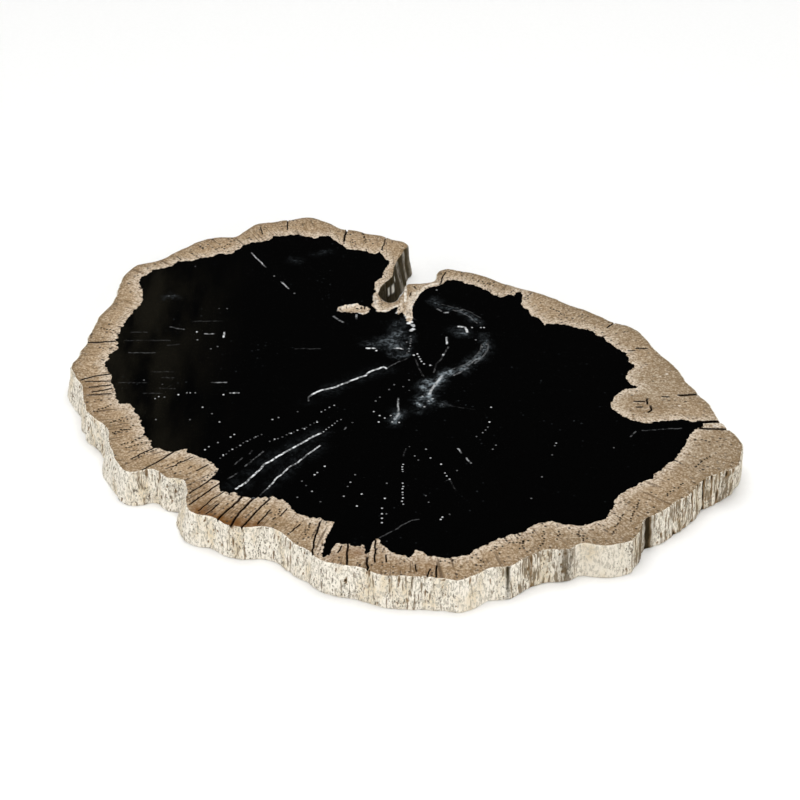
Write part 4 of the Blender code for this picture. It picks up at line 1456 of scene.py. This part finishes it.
@dataclass(frozen=True)
class SatinRind:
    """Silicified sapwood, ground flat and half polished: satin tan with a pale inner margin.

    Rays run out from the pith, some as thin dark lines, and vessels open as dark specks between
    them. Crumbs of silica lie pale and dark in it, and iron stains it here and there. The crumbs
    and the vessels are drawn about twice as coarse as they are, so that they show.
    """

    name: str = "satin_ground_rind"
    tan: str = "#b2997a"
    deep_tan: str = "#7e6545"
    grey_tan: str = "#958670"
    margin: str = "#d3c4b1"
    crumb: str = "#e3d5c0"
    # the outer band's colour, and the painted shade along the top edge
    outer: str = "#614e2f"
    vessel: str = "#34261a"
    stain: str = "#6b4208"
    # dirt and painted shade in cracks and pits
    crack: str = "#080402"
    ray_line: str = "#4e3a24"
    chip: str = "#f4ede1"
    roughness: float = 0.45
    ior: float = 1.36                         # low, because grit left it half polished
    bump: float = 0.08                        # mm
    raggedness: float = 0.7                   # of a fringe's far edge
    cloud_size: Size = (8, 8, 8)
    cloud_band: Band = (0.44, 0.75, 0.5)
    ray_rates: Band = (120.0, 0.09)           # noise round the pith, and for each mm outwards
    ray_band: Band = (0.48, 0.68, 0.6)
    line_rates: Band = (105.0, 0.035)
    line_band: Band = (0.6, 0.68, 0.75)
    dull_reach: Band = (2.0, 13.0)            # mm in from the wall
    dull_share: float = 0.28
    # painted shade along the top edge:
    lip_reach: Band = (0.0, 4.0)
    lip_share: float = 0.2
    lip_behind: Band = (-130.0, 60.0, 0.4)    # more of it towards the back
    margin_reach: Band = (-1.0, 9.0)          # mm out from the core
    margin_share: float = 0.8
    grain_size: Size = (1.35, 1.35, 1.35)
    dark_crumbs: Band = (0.52, 0.36, 0.85)
    pale_crumbs: Band = (0.52, 0.68)
    crumb_share: float = 0.5
    margin_crumbs: float = 0.4
    rim_radius: float = 170.0                 # mm, where the vessels' spacing holds
    vessel_spacing: float = 1.9
    vessel_stretch: float = 0.8               # of the spacing, along the rays
    vessel_edge: Band = (0.25, 0.5, -1.0)
    vessel_share: Band = (0.45, 0.7)
    vessel_rates: Band = (60.0, 0.02)
    vessel_band: Band = (0.42, 0.6)

    def material(self) -> bpy.types.Material:
        """Tan and deeper tan, dulled by the wall, with painted shade along the top edge, pale by the
        core, then crumbs, stain and lines.

        Returns:
            The material.
        """
        paint = Paint(self.name, self.roughness, self.ior)
        cloud = paint.mottle(self.cloud_size, 4.0, 0.6)
        grain = paint.mottle(self.grain_size, 2.0, 0.7)
        greyness = paint.add(Step.READ, "greyness")
        clouded = paint.add(Step.RAMP, cloud, *self.cloud_band)
        colour = paint.add(Step.LAY, self.tan, self.deep_tan, clouded)
        colour = paint.add(Step.LAY, colour, self.grey_tan, greyness)
        rays = paint.add(Step.RAMP, self.rays(paint, self.ray_rates), *self.ray_band)
        colour = paint.add(Step.LAY, colour, self.deep_tan, rays)
        dull = self.fringe(paint, "from_wall", cloud, self.dull_reach)
        colour = paint.add(Step.LAY, colour, self.outer, paint.add(Step.TIMES, dull, self.dull_share))
        # painted shade along the top edge, stronger towards the back
        lip = self.fringe(paint, "from_wall", cloud, self.lip_reach)
        behind = paint.add(Step.RAMP, paint.add(Step.ALONG_Y, paint.place), *self.lip_behind)
        painted_edge_shade = paint.add(Step.PLUS, behind, self.lip_share)
        colour = paint.add(Step.LAY, colour, self.outer, paint.add(Step.TIMES, lip, painted_edge_shade))
        pale = self.fringe(paint, "from_core", cloud, self.margin_reach)
        margin = paint.add(Step.TIMES, pale, self.margin_share)
        colour = paint.add(Step.LAY, colour, self.margin, margin)
        dark = paint.add(Step.RAMP, grain, *self.dark_crumbs)
        colour = paint.add(Step.LAY, colour, self.deep_tan, dark)
        lit = paint.add(Step.PLUS, paint.add(Step.TIMES, pale, self.margin_crumbs), self.crumb_share)
        lit = paint.add(Step.TIMES, paint.add(Step.RAMP, grain, *self.pale_crumbs), lit)
        colour = paint.add(Step.LAY, colour, self.crumb, lit)
        colour = paint.add(Step.LAY, colour, self.stain, paint.add(Step.READ, "stain"))
        brown = paint.add(Step.PLUS, paint.add(Step.TIMES, greyness, -1.0), 1.0)
        lines = paint.add(Step.RAMP, self.rays(paint, self.line_rates), *self.line_band)
        colour = paint.add(Step.LAY, colour, self.ray_line, paint.add(Step.TIMES, lines, brown))
        pores = self.pores(paint)
        colour = paint.add(Step.LAY, colour, self.vessel, pores)
        colour = paint.add(Step.LAY, colour, self.chip, paint.add(Step.READ, "white"))
        # cracks and pits darkened with dirt and painted shade
        colour = paint.add(Step.LAY, colour, self.crack, paint.add(Step.READ, "crack"))
        return paint.finish(colour, paint.add(Step.MINUS, grain, pores), self.bump)

    def fringe(self, paint: Paint, distance: str, ragged: bpy.types.NodeSocket,
               reach: Band) -> bpy.types.NodeSocket:
        """1 along a border and 0 away from it, its far edge made ragged by a noise.

        Args:
            paint: the material.
            distance: the attribute that gives the distance from the border.
            ragged: the noise.
            reach: where the fringe is whole, and where it has gone, mm.

        Returns:
            How much of the fringe is at each point.
        """
        near, far = reach
        push = paint.add(Step.TIMES, ragged, -self.raggedness * (far - near))
        gap = paint.add(Step.PLUS, paint.add(Step.READ, distance), push)
        low = near - self.raggedness / 2 * (far - near)
        return paint.add(Step.PLUS, paint.add(Step.RAMP, gap, low, low + far - near, -1.0), 1.0)

    @staticmethod
    def polar(paint: Paint, around: float, outward: float) -> bpy.types.NodeSocket:
        """A place that runs quickly round the pith and slowly away from it, at two given rates.

        Args:
            paint: the material.
            around: cells round the pith for each radian, about.
            outward: cells for each mm.

        Returns:
            The place, in cells.
        """
        from_pith = paint.add(Step.AWAY_FROM, paint.place, (*on_model(PITH)[0], 0))
        away = paint.add(Step.TIMES, paint.add(Step.LENGTH, from_pith), outward)
        turned = paint.add(Step.STRETCH, paint.add(Step.DIRECTION, from_pith), (around, around, 0))
        return paint.add(Step.TOGETHER, turned, paint.add(Step.UPRIGHT, away))

    def rays(self, paint: Paint, rates: Band) -> bpy.types.NodeSocket:
        """Noise in streaks that run out from the pith."""
        return paint.add(Step.NOISE, self.polar(paint, *rates), 2.0)

    def pores(self, paint: Paint) -> bpy.types.NodeSocket:
        """Open vessels: specks in a pattern laid out by rays, more of them along some rays.

        Args:
            paint: the material.

        Returns:
            How much of a speck is at each point.
        """
        at = self.polar(paint, self.rim_radius / self.vessel_spacing,
                        self.vessel_stretch / self.vessel_spacing)
        along = paint.add(Step.RAMP, self.rays(paint, self.vessel_rates), *self.vessel_band)
        return paint.strewn(at, self.vessel_edge, self.vessel_share, along)


@dataclass(frozen=True)
class ChalkyBark:
    """The weathered outside of the log, left as found: dry, chalky cream, dirt and painted shade in
    every hollow.
    """

    chalk: str = "#f3ecdf"
    cream: str = "#e0d1b6"
    dun: str = "#b3a68d"
    ash: str = "#bbb3a3"
    fleck: str = "#6a6252"
    soil: str = "#6f5c40"
    # dirt and painted shade in the deepest hollows
    dirt_and_shade: str = "#33281a"
    # dirt and painted shade in shallower hollows
    brown: str = "#866c4a"
    # the colour of the painted shade inside the split and the deeper gouges
    shade: str = "#332b19"
    splinter: str = "#fffbf0"
    roughness: float = 0.95
    ior: float = 1.2                          # low, because the crumbling surface has no gloss
    cream_size: Size = (9, 9, 26)
    cream_band: Band = (0.46, 0.72)
    dun_share: float = 0.5
    grain_size: Size = (1.3, 1.3, 2.6)
    ash_band: Band = (0.47, 0.62, 0.85)
    streak_size: Size = (1.35, 1.35, 13)      # upright, along the grain
    soil_band: Band = (0.57, 0.7, 0.85)
    grime_and_shade_weight: float = 0.17
    area_size: Size = (7, 7, 14)
    area_weight: float = 0.3
    fleck_size: Size = (0.9, 0.9, 1.8)        # coarser than the real grit, so that it shows
    fleck_band: Band = (0.74, 0.85)
    brown_band: Band = (0.2, 0.6, 0.9)
    dirt_and_shade_band: Band = (0.5, 1.0)
    dusk_band: Band = (0.7, 0.5, 0.035)
    dusk_floor: float = 0.96
    bump: float = 0.4

    def material(self) -> bpy.types.Material:
        """Chalk and cream, greyed, soiled in streaks, flecked, with dirt and painted shade in hollows,
        painted shade in the split.

        Returns:
            The material.
        """
        paint = Paint("chalky_bark_side", self.roughness, self.ior)
        calm = paint.add(Step.READ, "calm")
        cream = paint.add(Step.RAMP, paint.mottle(self.cream_size, 4.0), *self.cream_band)
        colour = paint.add(Step.LAY, self.chalk, self.cream, cream)
        dun = paint.add(Step.TIMES, paint.add(Step.READ, "greyness"), self.dun_share)
        colour = paint.add(Step.LAY, colour, self.dun, dun)
        grain = paint.mottle(self.grain_size, 2.0, 0.65)
        colour = paint.add(Step.LAY, colour, self.ash, paint.add(Step.RAMP, grain, *self.ash_band))
        streaks = paint.mottle(self.streak_size, 2.0, 0.6)
        # grime streaks, with painted shade beside the step in the wall
        grime_and_shade = paint.add(Step.TIMES, paint.add(Step.READ, "grime_and_shade"), self.grime_and_shade_weight)
        soiled = paint.add(Step.RAMP, paint.add(Step.PLUS, streaks, grime_and_shade), *self.soil_band)
        colour = paint.add(Step.LAY, colour, self.soil, paint.add(Step.TIMES, soiled, calm))
        area = paint.add(Step.TIMES, paint.mottle(self.area_size, 2.0), self.area_weight)
        specks = paint.add(Step.PLUS, paint.mottle(self.fleck_size, 2.0, 0.6), area)
        flecks = paint.add(Step.TIMES, paint.add(Step.RAMP, specks, *self.fleck_band), calm)
        colour = paint.add(Step.LAY, colour, self.fleck, flecks)
        # dirt and painted shade: pits, gouges and flute troughs go brown, then near black
        hollow = paint.add(Step.READ, "hollow")
        brown = paint.add(Step.RAMP, hollow, *self.brown_band)
        colour = paint.add(Step.LAY, colour, self.brown, brown)
        dirt_and_shade = paint.add(Step.RAMP, hollow, *self.dirt_and_shade_band)
        colour = paint.add(Step.LAY, colour, self.dirt_and_shade, dirt_and_shade)
        # painted shade: inside the split and the deeper gouges the wall turns nearly to the shade colour
        dusk = paint.add(Step.PLUS, paint.add(Step.RAMP, streaks, *self.dusk_band), self.dusk_floor)
        dusk = paint.add(Step.TIMES, dusk, paint.add(Step.READ, "shade"))
        colour = paint.add(Step.LAY, colour, self.shade, dusk)
        colour = paint.add(Step.LAY, colour, self.splinter, paint.add(Step.READ, "chip"))
        return paint.finish(colour, paint.add(Step.MINUS, grain, flecks), self.bump)


@dataclass(frozen=True)
class SawnCore:
    """The same black stone on the underside, left as the saw and coarse grit leave it: a dull grey."""

    grey: str = "#23211f"
    scuffed: str = "#3a3733"
    roughness: float = 0.55
    ior: float = 1.54
    kerf_size: Size = (2.2, 160, 50)          # the saw's marks, across the slice
    scuff_size: Size = (6, 6, 6)
    scuff_band: Band = (0.42, 0.75)
    bump: float = 0.12

    def material(self) -> bpy.types.Material:
        """Grey with paler scuffs, over the saw's marks.

        Returns:
            The material.
        """
        paint = Paint("sawn_core", self.roughness, self.ior)
        kerf = paint.mottle(self.kerf_size, 2.0)
        scuffs = paint.mottle(self.scuff_size, 4.0, 0.65)
        scuffed = paint.add(Step.RAMP, scuffs, *self.scuff_band)
        colour = paint.add(Step.LAY, self.grey, self.scuffed, scuffed)
        return paint.finish(colour, paint.add(Step.PLUS, kerf, scuffs), self.bump)


@dataclass(frozen=True)
class CrackDirtAndShade:
    """Old dirt and painted shade deep in the shrinkage cracks and the open pits, where no polish
    reached: it drinks the light.
    """

    dirt_and_shade: str = "#150e08"
    crust: str = "#33241a"
    roughness: float = 1.0
    ior: float = 1.08                         # low, because packed dirt has no gloss at all
    crust_size: Size = (2, 2, 2)
    crust_band: Band = (0.5, 0.7)

    def material(self) -> bpy.types.Material:
        """Near black with browner crusts."""
        paint = Paint("dirt_and_shade_in_the_cracks", self.roughness, self.ior)
        crusts = paint.add(Step.RAMP, paint.mottle(self.crust_size), *self.crust_band)
        return paint.finish(paint.add(Step.LAY, self.dirt_and_shade, self.crust, crusts))


@dataclass(frozen=True)
class MattPaper:
    """Seamless studio paper, near white and quite matt."""

    white: str = "#fbfbfa"
    fibre: str = "#f6f6f5"
    roughness: float = 0.95
    ior: float = 1.4
    fibre_size: Size = (3, 3, 3)

    def material(self) -> bpy.types.Material:
        """White with the least change from fibre to fibre."""
        paint = Paint("matt_paper", self.roughness, self.ior)
        fibres = paint.mottle(self.fibre_size, 2.0)
        return paint.finish(paint.add(Step.LAY, self.white, self.fibre, fibres))


@dataclass
class StoneSlice:
    """The whole stone: one closed piece, from its wall and its two flat faces."""

    outline: Outline
    wall: BarkWall = field(default_factory=BarkWall)
    cracked: CrackedFace = field(default_factory=CrackedFace)
    silica: Silica = field(default_factory=Silica)
    top: FlatFace = field(default_factory=lambda: FlatFace(
        rind_step=1.45, core_step=5.0, smoke_step=1.3, border_step=0.6,
        finishes=(Surface.CORE, Surface.RIND), detailed=True, seed=1))
    underside: FlatFace = field(default_factory=lambda: FlatFace(
        rind_step=4.5, core_step=9.0, smoke_step=9.0, border_step=1.6,
        finishes=(Surface.SAWN_CORE, Surface.SAWN_RIND), detailed=False, seed=9))

    def skin(self) -> tuple[Shell, np.ndarray]:
        """All shells in one, of triangles.

        Returns:
            The wall, whose quads are split, with the top and the underside, and the hollowness of
            the wall's own vertices followed by noughts.
        """
        wall, ends, hollow = self.wall.grid(self.outline, self.cracked)
        top = self.top.filled(ends[0], self.silica, self.cracked)
        sink, opened = self.cracked.sunk(top.places)
        opened = opened[top.corners].mean(axis=1)
        # faces deep in a crack or a pit take the near-black finish of dirt and painted shade
        top.surface[(opened > 0.5) & (top.surface == Surface.RIND.value)] = Surface.FISSURE.value
        base = self.underside.filled(ends[1], self.silica, self.cracked)
        places = np.vstack((
            wall.places,
            np.column_stack((top.places, THICKNESS - sink)),
            np.column_stack((base.places, np.zeros(len(base.places)))),
        ))
        halves = np.vstack((wall.corners[:, [0, 1, 2]], wall.corners[:, [0, 2, 3]]))
        corners = np.vstack((
            halves,
            top.corners + len(wall.places),
            base.corners[:, ::-1] + len(wall.places) + len(top.places),
        ))
        surface = np.concatenate((wall.surface, wall.surface, top.surface, base.surface))
        return Shell(places, corners, surface), np.append(hollow, np.zeros(len(places) - len(hollow)))

    def made(self) -> bpy.types.Object:
        """The stone as an object, with its finishes and the numbers that they read.

        Returns:
            The object, at the origin.
        """
        shell, hollow = self.skin()
        mesh = bpy.data.meshes.new("petrified_wood")
        used, corners = np.unique(shell.corners, return_inverse=True)
        mesh.from_pydata((shell.places[used] * MM).tolist(), [], corners.reshape(-1, 3).tolist())
        mesh.polygons.foreach_set("material_index", shell.surface.astype(np.int32))
        mesh.polygons.foreach_set("use_smooth", np.ones(len(mesh.polygons), bool))
        self.give(mesh, "hollow", hollow[used])
        self.welded(mesh)
        self.painted(mesh)
        finishes = (AgatisedCore(), SatinRind(), ChalkyBark(), SawnCore(), self.sawn_rind(), CrackDirtAndShade())
        for finish in finishes:
            mesh.materials.append(finish.material())
        stone = bpy.data.objects.new("petrified_wood", mesh)
        bpy.context.scene.collection.objects.link(stone)
        return stone

    @staticmethod
    def sawn_rind() -> SatinRind:
        """The rind on the underside: rougher and paler, with no polish to deepen its colour."""
        return SatinRind(
            tan="#c6b598", deep_tan="#a9957a", grey_tan="#b3a896", margin="#d8cbb9", outer="#a3937a",
            name="sawn_rind", roughness=0.8, bump=0.3)

    @staticmethod
    def welded(mesh: bpy.types.Mesh) -> None:
        """Join the shells where they meet.

        Args:
            mesh: the whole skin.
        """
        skin = bmesh.new()
        skin.from_mesh(mesh)
        bmesh.ops.remove_doubles(skin, verts=skin.verts[:], dist=WELD * MM)
        open_edges = sum(1 for edge in skin.edges if not edge.is_manifold)
        log.info("open or forked edges: %d, volume %.0f cm3", open_edges, skin.calc_volume() * 1e6)
        skin.to_mesh(mesh)
        skin.free()

    @staticmethod
    def give(mesh: bpy.types.Mesh, name: str, values: np.ndarray) -> None:
        """Store a number for each vertex under a name."""
        mesh.attributes.new(name, "FLOAT", "POINT").data.foreach_set("value", values.astype(np.float32))

    def painted(self, mesh: bpy.types.Mesh) -> None:
        """Give the mesh the numbers that the finishes read, each a function of the place in plan.

        Args:
            mesh: the whole skin.
        """
        places = np.empty(len(mesh.vertices) * 3, np.float32)
        mesh.vertices.foreach_get("co", places)
        plan = places.reshape(-1, 3)[:, :2].astype(float) / MM
        white, smoke = self.silica.amounts(plan)
        _, cracked = self.cracked.sunk(plan)
        from_core = [np.abs(signed_distance(plan, on_model(line))) for line in (CORE_BORDER, ISLAND)]
        edge = self.outline.points[::3]
        blotches = np.clip(1.0 + 0.6 * rough_noise(plan / 3, 15), 0, 1)
        self.give(mesh, "white", white)
        self.give(mesh, "smoke", smoke)
        self.give(mesh, "crack", cracked)
        self.give(mesh, "from_core", np.minimum(*from_core))
        self.give(mesh, "from_wall", np.abs(signed_distance(plan, edge)))
        self.give(mesh, "stain", patches(plan, STAINS) * blotches)
        self.give(mesh, "greyness", patches(plan, GREYER))
        self.give(mesh, "calm", 1 - patches(plan, SMOOTH_WALL))
        # painted shade inside the split and the deeper gouges, over the wall's darker stone
        self.give(mesh, "shade", np.clip(patches(plan, DARK_AND_SHADED_WALL), 0, 1))
        self.give(mesh, "grime_and_shade", patches(plan, GRIMY_AND_SHADED_WALL))
        self.give(mesh, "chip", self.wall.chips(plan, places[2::3] / MM))


@dataclass
class Studio:
    """A white paper dish under soft boxes, and the camera, in metres.

    Attributes:
        floor_radius: of the paper.
        floor_rise: how high its rim curls up.
        floor_spokes: corners round each ring of its mesh.
        aim: what the camera looks at.
        distance: of the camera from there.
        elevation: of the camera above the slice, degrees.
        lens: focal length, mm.
        sensor: width of the camera's sensor, mm.
        room: hex colour of the dim light from all round.
        soft_boxes: name, place, side and power in watts of each.
    """

    floor_radius: float = 3.2
    floor_rise: float = 1.3
    floor_spokes: int = 96
    aim: tuple[float, float, float] = (2.8 * MM, -23.5 * MM, 22 * MM)
    distance: float = 1.31
    elevation: float = 35.0
    lens: float = 99.0
    sensor: float = 36.0
    room: str = "#1b1b1b"
    soft_boxes: tuple[tuple[str, tuple[float, float, float], float, float], ...] = (
        ("overhead", (0.0, 0.15, 2.5), 2.2, 62.0),
        ("front_fill", (0.3, -2.3, 1.0), 1.5, 24.0),
        ("left_fill", (-2.2, -0.4, 1.2), 1.2, 10.0),
        ("right_fill", (2.2, -0.2, 1.3), 1.2, 8.0),
    )

    def floor(self) -> bpy.types.Object:
        """The paper: a flat disc that curls up to a low wall all round.

        Height is nought out to half the radius, then the rise times (1 - cos) of a quarter turn.

        Returns:
            The object.
        """
        turn = np.linspace(0, 2 * np.pi, self.floor_spokes, endpoint=False)
        radius = np.concatenate(([0.001, 0.2, 0.5, 1.0], np.linspace(0.5, 1, 24) * self.floor_radius))
        curl = np.clip((radius / self.floor_radius - 0.5) / 0.5, 0, 1)
        height = self.floor_rise * (1 - np.cos(curl * np.pi / 2))
        ring, spoke = np.meshgrid(np.arange(len(radius)), turn, indexing="ij")
        reach = radius[ring]
        places = np.stack((reach * np.cos(spoke), reach * np.sin(spoke), height[ring]), axis=-1)
        places = places.reshape(-1, 3)
        number = np.arange(len(places)).reshape(ring.shape)
        right = np.roll(number, -1, axis=1)
        corners = np.stack((number[:-1], number[1:], right[1:], right[:-1]), axis=-1).reshape(-1, 4)
        mesh = bpy.data.meshes.new("paper")
        mesh.from_pydata(places.tolist(), [], corners.tolist() + [number[0].tolist()])
        mesh.polygons.foreach_set("use_smooth", np.ones(len(mesh.polygons), bool))
        mesh.materials.append(MattPaper().material())
        paper = bpy.data.objects.new("paper", mesh)
        bpy.context.scene.collection.objects.link(paper)
        return paper

    def lights(self) -> None:
        """Square soft boxes that face the slice, of which the polish mirrors the overhead one alone."""
        for name, place, size, power in self.soft_boxes:
            data = bpy.data.lights.new(name, "AREA")
            data.shape = "SQUARE"
            data.size = size
            data.energy = power
            lamp = bpy.data.objects.new(name, data)
            lamp.location = place
            lamp.visible_glossy = name == "overhead"
            lamp.rotation_euler = (-Vector(place)).to_track_quat("-Z", "Y").to_euler()
            bpy.context.scene.collection.objects.link(lamp)
        world = bpy.data.worlds.new("dim_room")
        world.use_nodes = True
        background = world.node_tree.nodes["Background"]
        background.inputs["Color"].default_value = linear(self.room)
        background.inputs["Strength"].default_value = 1.0
        bpy.context.scene.world = world
        bpy.context.scene.view_settings.view_transform = "Standard"

    def camera(self) -> None:
        """The camera in front of the slice, at the photograph's height and distance."""
        data = bpy.data.cameras.new("camera")
        data.lens = self.lens
        data.sensor_width = self.sensor
        camera = bpy.data.objects.new("camera", data)
        lean = math.radians(self.elevation)
        back = Vector((0, -math.cos(lean), math.sin(lean)))
        camera.location = Vector(self.aim) + self.distance * back
        camera.rotation_euler = back.to_track_quat("Z", "Y").to_euler()
        bpy.context.scene.collection.objects.link(camera)
        bpy.context.scene.camera = camera


def main() -> None:
    """Build the stone and the studio in order, and report each piece."""
    logging.basicConfig(level=logging.INFO, format="%(message)s")
    outline = Outline()
    log.info("outline: %d columns", len(outline.points))
    stone = StoneSlice(outline).made()
    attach(stone, BODY)
    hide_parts(NODE)
    log.info("stone: %d triangles", len(stone.data.polygons))
    studio = Studio()
    studio.floor()
    studio.lights()
    studio.camera()
    log.info("studio: %d soft boxes", len(studio.soft_boxes))


if __name__ == "__main__":
    main()
